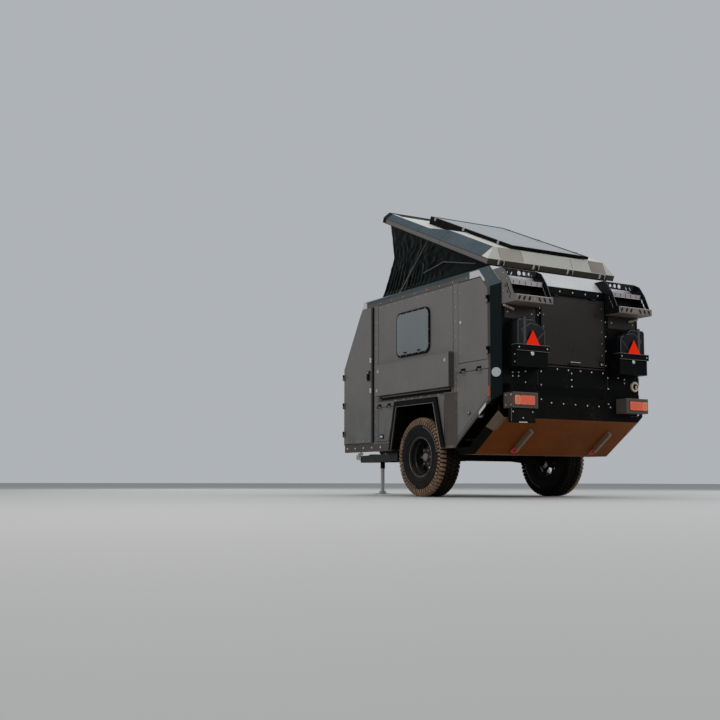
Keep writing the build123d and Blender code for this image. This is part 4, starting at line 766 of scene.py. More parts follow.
def hatch_details(hatch):
    """Rubber edge, latches, pull handle and rivets of the tail hatch."""
    hatch.layer(0, 0.003, RUBBER, 0.001, (-0.418, 0.418, 1.998, 2.010), (-0.418, 0.418, 1.320, 1.332),
                (-0.418, -0.406, 1.332, 1.998), (0.406, 0.418, 1.332, 1.998))
    for y in (0.375, -0.375):
        hatch.layer(0, 0.006, PLASTIC, 0.002, (y - 0.032, y + 0.030, 1.334, 1.384))
        hatch.layer(0.006, 0.016, CHROME, 0.003, (y - 0.020, y + 0.020, 1.341, 1.366))
    handle = ((-0.062, 0), (-0.062, 0.03), (-0.05, 0.034), (0.05, 0.034), (0.062, 0.03), (0.062, 0))
    hatch.form.bent_bar([hatch.spot(y, 1.352, out) for y, out in handle], 0.005, STEEL)
    hatch.rivets(0.0045, *((y, 1.45, y, 1.93, 5) for y in (0.385, -0.385)))


def lens_plate(form, x, y, z, half_y, half_z, thickness, material):
    """A flat plate with round corners and a soft rim, standing back from x."""
    points = []
    for quarter, (right, up) in enumerate(((1, 1), (-1, 1), (-1, -1), (1, -1))):
        for i in range(QUARTER_STEPS + 1):
            turn = math.pi / 2 * (quarter + i / QUARTER_STEPS)
            across = right * (half_y - LENS_CORNER) + LENS_CORNER * math.cos(turn)
            points.append(Vector((x, y + across, z + up * (half_z - LENS_CORNER) + LENS_CORNER * math.sin(turn))))
    form.plate(points, BACK, thickness, material, LENS_RIM)


def tail_lamp(form, side):
    """One lamp: its base and rounded lens in two colours, ribbed inside, in the place of the plain lens."""
    face = rear_surface(form, LAMP_LOW.x)
    x = LAMP_HIGH.x
    y_mid = side * LENS_MID
    z0, z1 = LAMP_LOW.z, LAMP_HIGH.z
    z_mid, half_z = (z0 + z1) / 2, (z1 - z0) / 2
    lens_plate(form, x, y_mid, z_mid, LENS_HALF, half_z, 0.002, PLASTIC)
    for start, end, lens in ((-0.121, 0.052, LAMP), (0.054, 0.121, LAMP_ORANGE)):
        low, high = sorted((y_mid + side * start, y_mid + side * end))
        lens_plate(form, x - 0.002, (low + high) / 2, z_mid, (high - low) / 2, half_z - 0.003, 0.0085, lens)
        ribs = [low + 0.016 + (high - low - 0.032) * i / 8 for i in range(9)]
        face.layer(-0.0018, -0.0002, lens, 0.0003, *((y - 0.0016, y + 0.0016, z0 + 0.016, z1 - 0.016) for y in ribs))
    for y in (y_mid - 0.108, y_mid + 0.108):
        face.turned(y, z1 - 0.014, -0.0015, [(0.004, 0), (0.004, 0.001), (0, 0.001)], STUD, 10)


def lamp_box_details(form, side):
    """Folded edge and screws of a lamp's box."""
    x = LAMP_HIGH.x
    form.box((x - 0.002, side * 0.58, 1.004), (x + 0.010, side * 0.885, 1.0125), EDGE, 0.001)
    for ahead in (0.03, 0.11):
        for z in (0.985, 0.89):
            form.bolt((x + ahead, side * 0.885, z), (0, side, 0), 0.005)


def jerry_can(form, side):
    """One can: a pressed body with its seams and cross picked out pale as painted highlights, grips and cap, in the
    place of the plain solid.
    """
    x0, x1 = CAN_LOW.x, CAN_HIGH.x
    middle = (x0 + x1) / 2

    def points(x, places):
        return [Vector((x, side * y, z)) for y, z in places]

    form.plate(points(x1, CAN_OUTLINE), BACK, x1 - x0, CAN, 0.012)
    # Pale seam line: painted highlight on the pressed edge
    form.bent_bar(points(x0 + 0.0035, CAN_OUTLINE), 0.0032, CAN_EDGE_HIGHLIGHT, 8)
    form.bent_bar(points(x0 + 0.0485, CAN_OUTLINE), 0.0030, CAN, 8)
    for x in (x0 + 0.040, middle, x1 - 0.040):
        form.bent_bar(points(x, CAN_GRIP), 0.0068, CAN)
    form.lathe((middle, side * 0.553, 1.650), (0, -side * 0.42, 0.91),
               [(0.030, 0), (0.030, 0.004), (0.024, 0.006), (0.024, 0.012), (0.020, 0.014), (0, 0.014)], CAN, 26)
    # Pale cross lines: painted highlights
    for line in CAN_CROSS:
        form.bar(*points(x0 + 0.0005, line), 0.0030, CAN_EDGE_HIGHLIGHT, 8)
    for y in (0.829, 0.502):
        for start, end in ((CAN_LOW.z + 0.06, 1.585), (1.585, CAN_LOW.z + 0.06)):
            form.bar((x0 + 0.03, side * y, start), (x1 - 0.03, side * y, end), 0.0010, CAN, 8)


def can_strap(form, side):
    """Webbing over a can: up its back and across its top."""
    x0, x1 = CAN_LOW.x - 0.003, CAN_HIGH.x + 0.001
    y0, y1 = side * 0.752 - STRAP_HALF, side * 0.752 + STRAP_HALF
    top = 1.7321
    form.box((x0, y0, 1.47), (x0 + STRAP_T, y1, top), WEBBING)
    form.box((x0, y0, top), (x1, y1, top + STRAP_T), WEBBING)


def carrier_details(form, side):
    """Pale edge beads as painted highlights, pull ring and bolts of a can carrier."""
    tray = rear_surface(form, -1.502 + AXLE_X)
    low, high = side * RACK_MID - CARRIER_HALF, side * RACK_MID + CARRIER_HALF
    # Pale edge beads: painted highlights
    for z in (1.4655, 1.4065):
        tray.line((low, z), (high, z), 0.0005, EDGE_BEAD, CARRIER_EDGE_HIGHLIGHT, 6)
    for y in (low, high):
        form.bar(at(-1.502, y, 1.4655), at(-1.427, y, 1.4655), EDGE_BEAD, CARRIER_EDGE_HIGHLIGHT, 6)
    tray.bolts(0.0055, (low + 0.03, 1.436), (high - 0.03, 1.436))
    tray.turned(side * RACK_MID, 1.385, -0.014, [(0.020, 0), (0.020, 0.003), (0.015, 0.004), (0, 0.002)], CHROME, 24)
    side_surface(form, side, RACK_MID + 0.19).bolts(0.005, (-1.457, 1.30), (-1.457, 1.37))


def corner_shoe_details(form, side):
    """The bright shoe plate folded under a rear post with its bolts, and the bracket along the belly's edge."""
    out = Vector((-0.6, 0, -0.8))
    high, low = (-1.151, 0.8835), (-1.035, 0.7865)
    form.plate(sheet_corners(at, high, low, side * 0.9775, side * 0.930), out, 0.0016, SILVER)
    top_in, top_out = at(-1.318, side * 0.880, 0.778), at(-1.318, side * 0.950, 0.840)
    low_in, low_out = at(-0.850, side * 0.880, 0.435), at(-0.850, side * 0.950, 0.4985)
    end_in = top_in.lerp(low_in, 0.36)
    form.plate([top_in, top_out, top_out.lerp(low_out, 0.42), end_in], (-0.48, side * 0.58, -0.66), 0.002, BRACKET)
    inwards = Vector((0, side * -0.030, 0))
    flange = [top_in, end_in, top_in.lerp(low_in, 0.30) + inwards, top_in + inwards]
    form.plate(flange, (-0.59, 0, -0.81), 0.002, BRACKET)
    first, last = (at(x, side * 0.954, z) + out * 0.0016 for x, z in (high, low))
    for share in (0.25, 0.75):
        form.bolt(first.lerp(last, share), out, 0.005, STEEL)


def plate_details(form):
    """The blank number plate, its lip and its bolts."""
    low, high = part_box("plate_holder")
    middle = (low.y + high.y) / 2
    plate = rear_surface(form, low.x)
    plate.layer(0, 0.003, PLATE_BLACK, 0.001, (low.y + 0.002, high.y - 0.012, low.z + 0.012, high.z - 0.006))
    plate.layer(0, 0.005, SILVER, 0.001, (middle - 0.05, middle + 0.05, low.z, low.z + 0.009))
    plate.layer(0, 0.005, EDGE, 0.001, (high.y - 0.011, high.y - 0.004, low.z + 0.01, high.z - 0.006))
    plate.bolts(0.0055, (0.872, 0.825), (0.633, 0.827), (0.752, 0.767), out=0.003)


def rack_lamp_details(form, side):
    """Lens, bright edges and ribs of the lamp bar across a rack, and the banded tube behind it."""
    z0, z1 = RACK_LAMP_LOW.z, RACK_LAMP_HIGH.z
    low, high = sorted((side * RACK_INNER, side * RACK_OUTER))
    lamp = rear_surface(form, RACK_LAMP_LOW.x)
    lamp.layer(0, 0.003, BAR_LENS, 0.001, (low + 0.008, high - 0.008, z0 + 0.006, z1 - 0.006))
    for z in (z0 + 0.004, z1 - 0.004):
        lamp.line((low + 0.004, z), (high - 0.004, z), 0.002, EDGE_BEAD, SILVER, 8)
    ribs = [low + (high - low) * i / 6 for i in range(1, 6)]
    lamp.layer(0.003, 0.0042, RACK_BLACK_AND_SHADE, 0.0003, *((y - 0.003, y + 0.003, z0 + 0.007, z1 - 0.007) for y in ribs))
    start, end = (Vector((REAR_X - 0.017, side * y, z)) for y, z in ((0.885, 1.862), (0.765, 1.828)))
    form.bar(start, end, 0.0125, CREAM, 14)
    for share in (0.2, 0.4, 0.6, 0.8):
        spot = start.lerp(end, share)
        form.bar(spot, spot.lerp(end, 0.06), 0.0132, REAR_BROWN, 14)


def rack_details(form, side):
    """Bolts and slots of a rack: on its outer side, its channel and its top."""
    flank = side_surface(form, side, 0.895)
    flank.bolts(0.0065, (-1.345, 2.17), (-1.345, 1.997), (-1.40, 2.10), material=STEEL)
    # Dark slot marks: painted shade seen in the openings
    for x, z in ((-1.376, 2.038), (-1.406, 1.977), (-1.437, 1.923)):
        flank.slot(x, z, 0.018, 0.007, 0.010, RACK_BLACK_AND_SHADE)
    channel = rear_surface(form, -1.533 + AXLE_X)
    low, high = sorted((side * RACK_INNER, side * RACK_OUTER))
    channel.layer(-0.001, 0, RACK_DUSTY, 0, (low + 0.004, high - 0.004, 1.876, 1.934))
    channel.line((low + 0.002, 1.936), (high - 0.002, 1.936), -0.002, EDGE_BEAD, SILVER, 8)
    # Dark slot marks: painted shade seen in the openings
    for y, lean in ((0.852, 1), (0.792, 1), (0.728, 1), (0.603, -1), (0.541, -1), (0.473, -1)):
        channel.slot(side * y, 1.904, 0.022, 0.013, -side * lean * 0.009, RACK_BLACK_AND_SHADE)
    channel.turned(side * RACK_MID, 1.906, 0, [(0.005, 0), (0.004, 0.001), (0, 0.001)], STEEL, 12)
    top = rear_surface(form, -1.305 + AXLE_X)
    for y in (0.819, 0.765):
        top.slot(side * y, 2.184, 0.017, 0.005, -side * 0.009, SILVER)
    for y, half in ((0.643, 0.007), (0.580, 0.010), (0.512, 0.011)):
        top.slot(side * y, 2.186, half, half * 0.7, 0.0, RACK_DUSTY)


rear_form = Form("rear_fittings", "body")
rear_wall_details(rear_surface(rear_form, REAR_X))
plate_details(rear_form)
# Thin tan bar along the belly's bottom edge: a painted highlight
rear_form.bar(at(-0.850, -0.88, 0.4365), at(-0.850, 0.88, 0.4365), EDGE_BEAD, ARM, 6)
for label, side in SIDES:
    for details in (rack_lamp_details, rack_details, can_strap, carrier_details, lamp_box_details, corner_shoe_details):
        details(rear_form, side)
rear_form.done()
hatch_form = Form("hatch_fittings", "tail_hatch")
hatch_details(rear_surface(hatch_form, HATCH_FACE))
hatch_form.done()
lamp_form = Form("tail_lamp_lenses", "body")
can_form = Form("jerry_can_bodies", "body")
for label, side in SIDES:
    tail_lamp(lamp_form, side)
    jerry_can(can_form, side)
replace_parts(lamp_form.done(), "tail_lamps")
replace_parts(can_form.done(), "jerry_cans")

# Front wall, drawbar and underside
AHEAD = (1, 0, 0)
FRONT_X = 1.703
FRONT_OUT = Vector((0.845, 0, 0.535))
SPRING_TURNS = 5
TURN_STEPS = 14


def front_wall_details(form):
    """Rivets round the front wall's two sheets, the fold's cover strip and the foot's bolts."""
    front = Surface(form, lambda y, z, out: at(FRONT_X + out, y, z), AHEAD)
    for _, side in SIDES:
        y = side * 0.872
        front.rivets(0.005, (y, 0.70, y, 1.47, 8))
        for place in row(at(1.672, y, 1.572), at(1.250, y, 2.239), 8):
            form.rivet(place, FRONT_OUT, 0.005)
    front.bolts(0.0065, (-0.78, 0.645, 0.78, 0.645, 11))
    for y in (-0.30, 0.30):
        y0, y1 = y - SEAM_HALF, y + SEAM_HALF
        front.layer(0, 0.0015, SEAM, 0, (y0, y1, 0.66, 1.50))
        form.plate(sheet_corners(at, (1.690, 1.5435), (1.245, 2.2465), y0, y1), FRONT_OUT, 0.0015, SEAM)
    front.layer(-0.0005, 0.0025, EDGE, 0.001, (-0.898, 0.898, 1.494, 1.520))
    form.plate(sheet_corners(at, (1.7022, 1.5243), (1.686, 1.550), -0.898, 0.898), FRONT_OUT, 0.003, EDGE)
    front.rivets(0.005, *((y, 1.507) for y in (-0.84, -0.42, 0.0, 0.42, 0.84)), out=0.0025)


def coupling_details(form):
    """The coupling's lever with its pin and bolts, and the jack's clamp screws."""
    lever = ((2.900, 0.540), (2.880, 0.566), (2.840, 0.585), (2.770, 0.592))
    form.bent_bar([at(x, 0, z) for x, z in lever], 0.0085, PLASTIC, 12)
    form.bar(at(2.905, -0.020, 0.534), at(2.905, 0.020, 0.534), 0.012, STEEL, 16)
    for _, side in SIDES:
        side_surface(form, side, 0.037).bolts(0.0075, (2.825, 0.484), (2.862, 0.484), material=STEEL)
        side_surface(form, side, 0.030).bolts(0.006, (2.235, 0.43), (2.235, 0.50), material=STEEL)


def suspension_details(form, side):
    """Coil spring on its seats, and the damper beside it, over a trailing arm."""
    y = side * 0.60
    steps = SPRING_TURNS * TURN_STEPS
    coil = circle(TURN_STEPS, 0.040) * SPRING_TURNS + circle(TURN_STEPS, 0.040)[:1]
    points = [at(0.045 + ahead, y + across, 0.474 + 0.100 * i / steps) for i, (ahead, across) in enumerate(coil)]
    form.bent_bar(points, 0.006, SPRING, 8)
    for z in (0.458, 0.576):
        form.bar(at(0.045, y, z), at(0.045, y, z + 0.010), 0.052, BLACK, 24)
    low, high = at(0.13, side * 0.655, 0.470), at(-0.13, side * 0.655, 0.572)
    neck = low.lerp(high, 0.55)
    form.bar(low, neck, 0.021, PLASTIC, 18)
    form.bar(neck, high, 0.011, STEEL, 14)
    half_eye = Vector((0, 0.018, 0))
    for place in (low, high):
        form.bar(place - half_eye, place + half_eye, 0.020, BLACK, 18)


chassis_form = Form("front_and_underside", "body")
front_wall_details(chassis_form)
coupling_details(chassis_form)
for label, side in SIDES:
    suspension_details(chassis_form, side)
chassis_form.done()

# Wheels: a lugged mud tyre and a deep steel rim on each side. Outlines are (place across, radius)
PITCHES = 56
WALL_BARS = 72
SHOULDER_LUG = ((0.066, 0.400), (0.068, 0.4194), (0.105, 0.4190), (0.1205, 0.405), (0.1245, 0.388), (0.1165, 0.380),
                (0.098, 0.390))
WALL_LUG = ((0.1140, 0.378), (0.1245, 0.383), (0.1268, 0.366), (0.1266, 0.344), (0.1210, 0.338))
WALL_BAR = ((0.1225, 0.318), (0.1264, 0.318), (0.1258, 0.332), (0.1220, 0.332))
MIDDLE_LUG = ((0.005, 0.400), (0.007, 0.4197), (0.054, 0.4197), (0.058, 0.400))
TOP_RADIUS = 0.41
TOP_NARROWING = 0.86
# Turned halves, as (radius, place across)
CARCASS_HALF = [
    (0.2045, 0.0925), (0.2155, 0.1015), (0.2165, 0.1165), (0.226, 0.1195), (0.250, 0.1232), (0.2535, 0.1262),
    (0.2585, 0.1262), (0.262, 0.1238), (0.300, 0.1255), (0.303, 0.1272), (0.3075, 0.1272), (0.3105, 0.1256),
    (0.345, 0.1240), (0.372, 0.1150), (0.395, 0.096), (0.4030, 0.066), (0.4045, 0.0),
]
BARREL_OUTER = [
    (0.2025, 0.0), (0.2025, 0.0905), (0.2065, 0.1000), (0.2140, 0.1035), (0.2147, 0.1090), (0.2147, 0.1140),
    (0.2105, 0.1153),
]
BARREL_INNER = [
    (0.2060, 0.1120), (0.2040, 0.1060), (0.1965, 0.1020), (0.1930, 0.0900), (0.1905, 0.0620), (0.1790, 0.0480),
    (0.1770, 0.0),
]
DISC_ROWS = ((0.060, 0.030), (0.098, 0.022), (0.104, 0.020), (0.168, 0.006), (0.176, 0.004), (0.1795, 0.0))
DISC_T = 0.008
DISC_SECTORS = 64
WINDOW_ROW = 2
WINDOW_PITCH = 8
WINDOW_FIRST, WINDOW_LAST = 1, 5


def mirrored(rows):
    """Rows of (radius, place across) on the wheel's other half, in the other order."""
    return [(radius, -across) for radius, across in reversed(rows)]


def lug(form, outline, middle, length, side, flip, lean, material):
    """One tread lug: its outline across the tyre, drawn out along the tread, leaning as it goes across."""
    ends = []
    for share in (-0.5, 0.5):
        corners = []
        for y, r in outline:
            narrow = TOP_NARROWING if r > TOP_RADIUS else 1.0
            angle = middle + (share * length * narrow + lean * (y - outline[0][0])) / r
            corners.append(at(r * math.sin(angle), side * TRACK_HALF + flip * y, HUB_Z + r * math.cos(angle)))
        ends.append(form.ring(corners))
    form.skin(ends, material, caps=True)


def tyre_form(form, side):
    """The tyre: a turned carcass with ribs on its walls, its lugs and its scuffed bars."""
    rows = mirrored(CARCASS_HALF[::-1]) + CARCASS_HALF[-2::-1] + [(0.2040, 0.0)]
    form.lathe(at(0, side * TRACK_HALF, HUB_Z), (0, 1, 0), rows, TYRE, 96, closed=True)
    for i in range(PITCHES):
        angle = 2 * math.pi * i / PITCHES
        for flip in (1, -1):
            shift = 0.0 if flip == 1 else math.pi / PITCHES
            # Outer shoulder lugs carry mud; the inner shoulder's lugs take the dark finish, partly painted shade
            mud = TREAD if flip == side else TREAD_DARK_SHADE
            lug(form, SHOULDER_LUG, angle + shift, 0.030, side, flip, 0.10, mud)
            lug(form, WALL_LUG, angle + shift + math.pi / PITCHES, 0.021 + 0.006 * (i % 2), side, flip, 0.0, mud)
            lug(form, MIDDLE_LUG, angle + shift + 0.04, 0.030, side, flip, 0.42, TREAD_DARK_SHADE)
    for i in range(WALL_BARS):
        if 20 <= i % (WALL_BARS // 2) < 34:
            for flip in (1, -1):
                lug(form, WALL_BAR, 2 * math.pi * i / WALL_BARS, 0.012, side, flip, 0, SCUFF)


def rim_disc(form, turn):
    """The rim's disc: a front and a back skin, with windows between them that have walls all round."""
    front, back = (
        [form.ring(turn @ Vector((x, y, along - depth)) for x, y in circle(DISC_SECTORS, radius))
         for radius, along in DISC_ROWS]
        for depth in (0.0, DISC_T)
    )
    faces = []
    for k in range(len(DISC_ROWS) - 1):
        for i in range(DISC_SECTORS):
            j = (i + 1) % DISC_SECTORS
            step = i % WINDOW_PITCH
            if k == WINDOW_ROW and WINDOW_FIRST <= step <= WINDOW_LAST:
                walls = [((k, i), (k, j)), ((k + 1, i), (k + 1, j))]
                ends = ((i, WINDOW_FIRST), (j, WINDOW_LAST))
                walls += [((k, end), (k + 1, end)) for end, place in ends if step == place]
                for (a, b), (c, d) in walls:
                    faces.append(form.mesh.faces.new((front[a][b], front[c][d], back[c][d], back[a][b])))
            else:
                for skin in (front, back):
                    faces.append(form.mesh.faces.new((skin[k][i], skin[k][j], skin[k + 1][j], skin[k + 1][i])))
    form.keep(faces, RIM)


def rim_form(form, side):
    """The rim: a rolled barrel with a pale lip ring as a painted highlight, a disc with windows, a hub, nuts and a
    bearing cap.
    """
    centre = at(0, side * TRACK_HALF, HUB_Z)
    out = (0, side, 0)
    turn = facing(centre, out)
    rows = mirrored(BARREL_OUTER) + BARREL_OUTER[1:] + BARREL_INNER + mirrored(BARREL_INNER[:-1])
    form.lathe(centre, out, rows, RIM, 80, closed=True)
    # Pale ring on the lip: painted highlight
    lip = [(0.2149, 0.1132), (0.2125, 0.1156), (0.2095, 0.1158), (0.2080, 0.1140)]
    form.lathe(centre, out, lip, RIM_LIP_HIGHLIGHT, 80, closed=True)
    rim_disc(form, turn)
    form.lathe(centre, out, [(0.062, 0.022), (0.062, 0.030), (0.057, 0.034), (0, 0.034)], RIM, 40)
    cap = [(0.042, 0.0341), (0.042, 0.050), (0.038, 0.055), (0.028, 0.0585), (0, 0.0595)]
    form.lathe(centre, out, cap, HUB_CAP, 40)
    for x, y in circle(6, 0.080):
        nut = turn @ Vector((x, y, 0.0265))
        form.lathe(nut, out, [(0.012, 0), (0.012, 0.010), (0.009, 0.016), (0, 0.017)], HUB_CAP, 6)
    valve = turn @ Vector((0.0, 0.172, 0.006))
    form.lathe(valve, out, [(0.004, 0), (0.004, 0.018), (0.005, 0.018), (0.005, 0.026), (0, 0.028)], RUBBER, 10)


for label, side in SIDES:
    tyre = Form(f"tyre_tread_{label}", f"wheel_{label}")
    tyre_form(tyre, side)
    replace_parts(tyre.done(), f"tyre_{label}")
    rim = Form(f"rim_steel_{label}", f"wheel_{label}")
    rim_form(rim, side)
    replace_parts(rim.done(), f"rim_{label}")

# Tent wall under the lifting roof: cloth hung from the roof and gathered on the deck
CLOTH_HALF = 0.797
CLOTH_CORNER = 0.045
CLOTH_T = 0.0012
CLOTH_FOOT_Z = DECK_Z + 0.0005
CLOTH_REAR_X = -0.992 + AXLE_X
CLOTH_FRONT_X = 1.095 + AXLE_X
CLOTH_TOP_U = (0.060, 2.110)
CLOTH_TOP_N = 0.007
UPSTAND_TOP = 2.320
SIDE_STEPS = 190
CORNER_STEPS = 7
FRONT_STEPS = 120
REAR_STEPS = 40
CLOTH_ROWS = 64
# How deep the cloth falls: its belly, the gathers at its foot, and coarse and fine creases
BELLY_DEPTH = 0.010
GATHER_DEPTH = 0.015
CREASE_DEPTH = 0.013
FINE_DEPTH = 0.004
GATHER_RATE = 78.0
# The front edge is drawn in to a waist between the foot and the head
FRONT_FOOT = Vector((CLOTH_FRONT_X, CLOTH_FOOT_Z))
FRONT_HEAD = on_roof(CLOTH_TOP_U[1], 0, CLOTH_TOP_N).xz
WAIST_X, WAIST_Z = 0.822 + AXLE_X, 2.750
WAIST_T = (WAIST_Z - CLOTH_FOOT_Z) / (FRONT_HEAD.y - CLOTH_FOOT_Z)
WAIST_PULL = WAIST_X - FRONT_FOOT.lerp(FRONT_HEAD, WAIST_T).x
# The side's welt, as (x, z) from front to rear
WELT_LINE = ((0.180, 2.452), (-0.202, 2.505), (-0.774, 2.379))


def smooth_step(low, high, value):
    """Rises smoothly from 0 at low to 1 at high."""
    share = min(max((value - low) / (high - low), 0.0), 1.0)
    return share * share * (3 - 2 * share)


def cloth_line(share, t):
    """The cloth's place in the side's plane (x, z), at a share of its length and of its height."""
    foot = Vector((CLOTH_REAR_X + share * (CLOTH_FRONT_X - CLOTH_REAR_X), CLOTH_FOOT_Z))
    head = on_roof(CLOTH_TOP_U[0] + share * (CLOTH_TOP_U[1] - CLOTH_TOP_U[0]), 0, CLOTH_TOP_N).xz
    bend = min(t / WAIST_T, (1 - t) / (1 - WAIST_T))
    return foot.lerp(head, t) + Vector((WAIST_PULL * bend * share ** 3, 0))


def fold_depth(along, t, share, height):
    """How far the cloth falls inwards: a slack belly, gathers at the foot and creases above."""
    tall = smooth_step(0.05, 0.5, height)
    belly = BELLY_DEPTH * math.sin(math.pi * t) * tall
    gather = smooth_step(0.62, 0.02, t) * smooth_step(0.35, 0.8, share) * tall
    wave = math.sin(along * GATHER_RATE + 1.6 * math.sin(along * 13.0) + 2.2 * t)
    gathers = GATHER_DEPTH * gather * (0.5 + 0.5 * wave) ** 1.6
    place = Vector((along * 3.0, t * 5.0 * height, share * 2.0))
    crease = abs(noise.noise(place * 2.3 + Vector((3.1, 0.0, 7.7))))
    fine = abs(noise.noise(place * 6.1))
    creases = (CREASE_DEPTH * crease + FINE_DEPTH * fine) * tall * math.sin(math.pi * min(max(t, 0.0), 1.0)) ** 0.5
    return belly + gathers + creases


def cloth_loop():
    """The wall's plan, right rear round the front to left rear: share of its length, y side and way out."""
    corner_share = 1 - CLOTH_CORNER / (CLOTH_FRONT_X - CLOTH_REAR_X)
    loop = [(corner_share * i / SIDE_STEPS, -CLOTH_HALF, 0.0) for i in range(SIDE_STEPS + 1)]
    for i in range(1, CORNER_STEPS):
        turn = math.pi / 2 * i / CORNER_STEPS
        share = corner_share + (1 - corner_share) * math.sin(turn)
        loop.append((share, -CLOTH_HALF + CLOTH_CORNER * (1 - math.cos(turn)), turn))
    other_side = [(share, -y, -turn) for share, y, turn in reversed(loop)]
    for i in range(FRONT_STEPS + 1):
        loop.append((1.0, (-1 + 2 * i / FRONT_STEPS) * (CLOTH_HALF - CLOTH_CORNER), math.pi / 2))
    return loop + other_side


def make_tent_wall():
    """The cloth as one sheet, closed behind by its low rear strip."""
    mesh = bmesh.new()
    columns = []
    along = 0.0
    before = None
    for share, y, turn in cloth_loop():
        side = -1 if y < 0 else 1
        facing_front = abs(math.sin(turn))
        height = cloth_line(share, 1.0).y - cloth_line(share, 0.0).y
        here = Vector((cloth_line(share, 0.0).x, y))
        along += (here - before).length if before is not None else 0.0
        before = here
        column = []
        for k in range(CLOTH_ROWS + 1):
            t = k / CLOTH_ROWS
            spot = cloth_line(share, t)
            free = smooth_step(UPSTAND_TOP, UPSTAND_TOP + 0.06, spot.y)
            depth = fold_depth(along, t, share, height) * free * smooth_step(1.0, 0.96, t) + CLOTH_T
            inwards = Vector((-facing_front, -side * (1 - facing_front))) * depth
            column.append(mesh.verts.new((spot.x + inwards.x, y + inwards.y, spot.y)))
        columns.append(column)
    first, last = columns[0], columns[-1]
    for i in range(1, REAR_STEPS):
        columns.append([mesh.verts.new(a.co.lerp(b.co, i / REAR_STEPS)) for a, b in zip(last, first)])
    for low, high in zip(columns, columns[1:] + [first]):
        for k in range(CLOTH_ROWS):
            mesh.faces.new((low[k], high[k], high[k + 1], low[k + 1])).smooth = True
    bmesh.ops.recalc_face_normals(mesh, faces=mesh.faces)
    data = bpy.data.meshes.new("tent_wall")
    mesh.to_mesh(data)
    mesh.free()
    data.materials.append(FABRIC)
    return add_object("tent_wall", data)


def make_tent_seams():
    """Welted seams on both sides of the tent wall."""
    form = Form("tent_seams", "body")
    for _, side in SIDES:
        corners = [at(x, side * (CLOTH_HALF - 0.006), z) for x, z in WELT_LINE]
        points = []
        for start, end in zip(corners, corners[1:]):
            points += row(start, end, 9)[:-1]
        points.append(corners[-1] + Vector((0, side * 0.002, 0)))
        form.bent_bar(points, 0.005, WELT, 8)
    return form.done()


tent = make_tent_wall()
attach(tent, "body")
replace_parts(tent, "bellows")
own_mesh(tent)
seams = make_tent_seams()
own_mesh(seams)

# Roof: clamps on the solar panel's frame, hinge bolts, seams and skirt beads
SHELL_HALF = 0.852
SHELL_SEAM_U = 0.922
SHELL_SEAM_HALF = 0.0022
HINGE_U = 0.014
GLASS_U = (0.152, 1.668)
GLASS_N = (0.2106, 0.2109)
GLASS_HALF = 0.488


def roof_box(form, along, across, up, material):
    """A block on the raised roof, square to it: from and to, along it, across it and up from it."""
    (u0, u1), (y0, y1), (n0, n1) = along, across, up
    form.plate(sheet_corners(on_roof, (u0, n0), (u1, n0), y0, y1), ROOF_UP, n1 - n0, material)


def roof_side_details(form, side):
    """The panel's clamps, and the shell side's beads, seam and rivets."""
    face = side * SHELL_HALF
    for u in (0.34, 1.00, 1.58):
        clamp = (u - 0.016, u + 0.016)
        roof_box(form, clamp, (side * 0.516, side * 0.534), (0.182, 0.2165), STEEL)
        roof_box(form, clamp, (side * 0.500, side * 0.534), (0.2145, 0.2175), STEEL)
    for up in ((0.0078, 0.012), (0.058, 0.062)):
        roof_box(form, (0.03, 2.10), (face, face + side * 0.0022), up, RUBBER)
    seam = (SHELL_SEAM_U - SHELL_SEAM_HALF, SHELL_SEAM_U + SHELL_SEAM_HALF)
    roof_box(form, seam, (face, face + side * SEAM_T), (0.009, 0.065), SEAM)
    eave = face - side * 0.1105
    slope = ((seam[0], face, 0.065), (seam[1], face, 0.065), (seam[1], eave, 0.1755), (seam[0], eave, 0.1755))
    form.plate([on_roof(*corner) for corner in slope], ROOF_UP + Vector((0, side, 0)), SEAM_T, SEAM)
    for i in range(12):
        form.rivet(on_roof(0.12 + 0.165 * i, face, 0.035), (0, side, 0), 0.0045, SHELL_SKIRT)


def roof_hinge_details(form):
    """Bolts and bright leaves of the roof's hinges."""
    for y in (-0.680, -0.230, 0.230, 0.680):
        for n in (0.030, 0.052):
            for leaf in (y - 0.030, y + 0.030):
                form.bolt(on_roof(HINGE_U, leaf, n), -ROOF_ALONG, 0.0055)
        for leaf in (y - 0.030, y + 0.030):
            corners = sheet_corners(on_roof, (HINGE_U, 0.016), (HINGE_U, 0.062), leaf - 0.012, leaf + 0.012)
            form.plate(corners, -ROOF_ALONG, 0.0025, SILVER)


def roof_top_details(form):
    """The front's dark strip, the solar panel's cell lines, and the rear slope's beige and brown patches and their
    seams.
    """
    roof_box(form, (1.965, 2.104), (-0.735, 0.735), (0.127, 0.1285), BLACK)
    for i in range(1, 9):
        u = GLASS_U[0] + (GLASS_U[1] - GLASS_U[0]) * i / 9
        roof_box(form, (u - 0.001, u + 0.001), (-GLASS_HALF, GLASS_HALF), GLASS_N, CELL_LINE)
    for y in (-0.326, -0.163, 0.0, 0.163, 0.326):
        roof_box(form, GLASS_U, (y - 0.001, y + 0.001), GLASS_N, CELL_LINE)
    # Beige and brown patches on the rear slope, where its colour changes
    for y0, y1, sheet in ((0.395, 0.686, SHELL_BEIGE), (-0.735, -0.525, SHELL_BROWN)):
        corners = sheet_corners(on_roof, (0.019, 0.071), (0.122, 0.174), y0, y1)
        form.plate(corners, ROOF_UP - ROOF_ALONG, 0.0005, sheet)
    for y in (-0.525, -0.266, 0.395, 0.686):
        corners = sheet_corners(on_roof, (0.030, 0.082), (0.112, 0.164), y - 0.0015, y + 0.0015)
        form.plate(corners, ROOF_UP - ROOF_ALONG, 0.001, SEAM)


roof_form = Form("roof_fittings", "roof")
for label, side in SIDES:
    roof_side_details(roof_form, side)
roof_hinge_details(roof_form)
roof_top_details(roof_form)
roof_form.done()


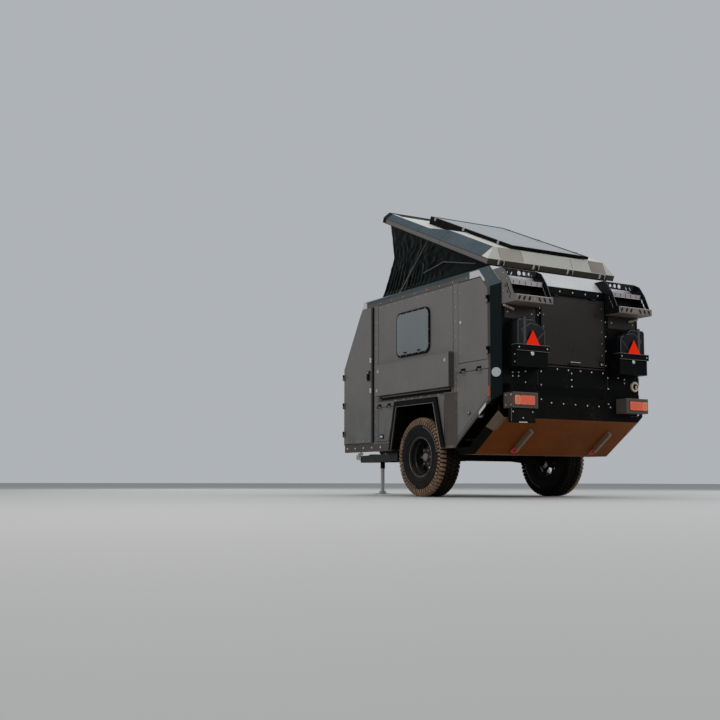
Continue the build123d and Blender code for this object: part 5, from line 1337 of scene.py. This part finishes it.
def look_from(position, yaw, pitch, roll):
    """A camera rotation from the view's yaw, pitch and roll."""
    forward = Vector((math.cos(pitch) * math.cos(yaw), math.cos(pitch) * math.sin(yaw), math.sin(pitch)))
    right = forward.cross(Vector((0, 0, 1))).normalized()
    up = right.cross(forward)
    turned_right = right * math.cos(roll) + up * math.sin(roll)
    turned_up = up * math.cos(roll) - right * math.sin(roll)
    rotation = Matrix((turned_right, turned_up, -forward)).transposed().to_4x4()
    return Matrix.Translation(position) @ rotation


camera_data = bpy.data.cameras.new("view_camera")
camera_data.sensor_width = 36.0
camera_data.lens = LENS_MM
camera_data.shift_y = SHIFT_Y
camera_data.clip_end = 200.0
camera = add_object("view_camera", camera_data)
camera.matrix_world = look_from(CAMERA_AT, CAMERA_YAW, CAMERA_PITCH, CAMERA_ROLL)
bpy.context.scene.camera = camera

# Floor and light
FLOOR_HALF = 60
floor_corners = [(x * FLOOR_HALF, y * FLOOR_HALF, 0) for x, y in ((-1, -1), (1, -1), (1, 1), (-1, 1))]
floor_mesh = bpy.data.meshes.new("studio_floor")
floor_mesh.from_pydata(floor_corners, [], [(0, 1, 2, 3)])
floor = add_object("studio_floor", floor_mesh)
floor_paint = bpy.data.materials.new("studio_floor")
floor_paint.use_nodes = True
floor_shader = floor_paint.node_tree.nodes["Principled BSDF"]
floor_shader.inputs["Base Color"].default_value = colour(0.45, 0.45, 0.44)
floor_shader.inputs["Roughness"].default_value = 0.9
floor_mesh.materials.append(floor_paint)

world = bpy.data.worlds.new("studio")
bpy.context.scene.world = world
world.use_nodes = True
background = world.node_tree.nodes["Background"]
background.inputs["Color"].default_value = colour(0.78, 0.82, 0.86)
background.inputs["Strength"].default_value = 0.55
bpy.context.scene.view_settings.view_transform = "Standard"

LIGHTS_AIM = Vector((-0.8, 0.0, 1.2))
for label, place, size, power, tint in (
    ("key_light", (-6.0, 9.0, 8.0), 5.0, 440.0, (1.0, 0.97, 0.93)),
    ("rear_light", (-9.0, -3.0, 6.0), 6.0, 230.0, (0.96, 0.97, 1.0)),
    ("top_light", (1.0, 0.0, 9.0), 6.0, 200.0, (0.97, 0.98, 1.0)),
    ("front_light", (10.0, 0.0, 5.0), 4.5, 200.0, (1.0, 0.98, 0.95)),
    ("right_light", (0.5, -9.5, 5.5), 6.0, 240.0, (0.97, 0.98, 1.0)),
):
    lamp_data = bpy.data.lights.new(label, "AREA")
    lamp_data.size = size
    lamp_data.energy = power
    lamp_data.color = tint
    lamp = add_object(label, lamp_data)
    lamp.location = place
    lamp.rotation_euler = (LIGHTS_AIM - Vector(place)).to_track_quat("-Z", "Y").to_euler()
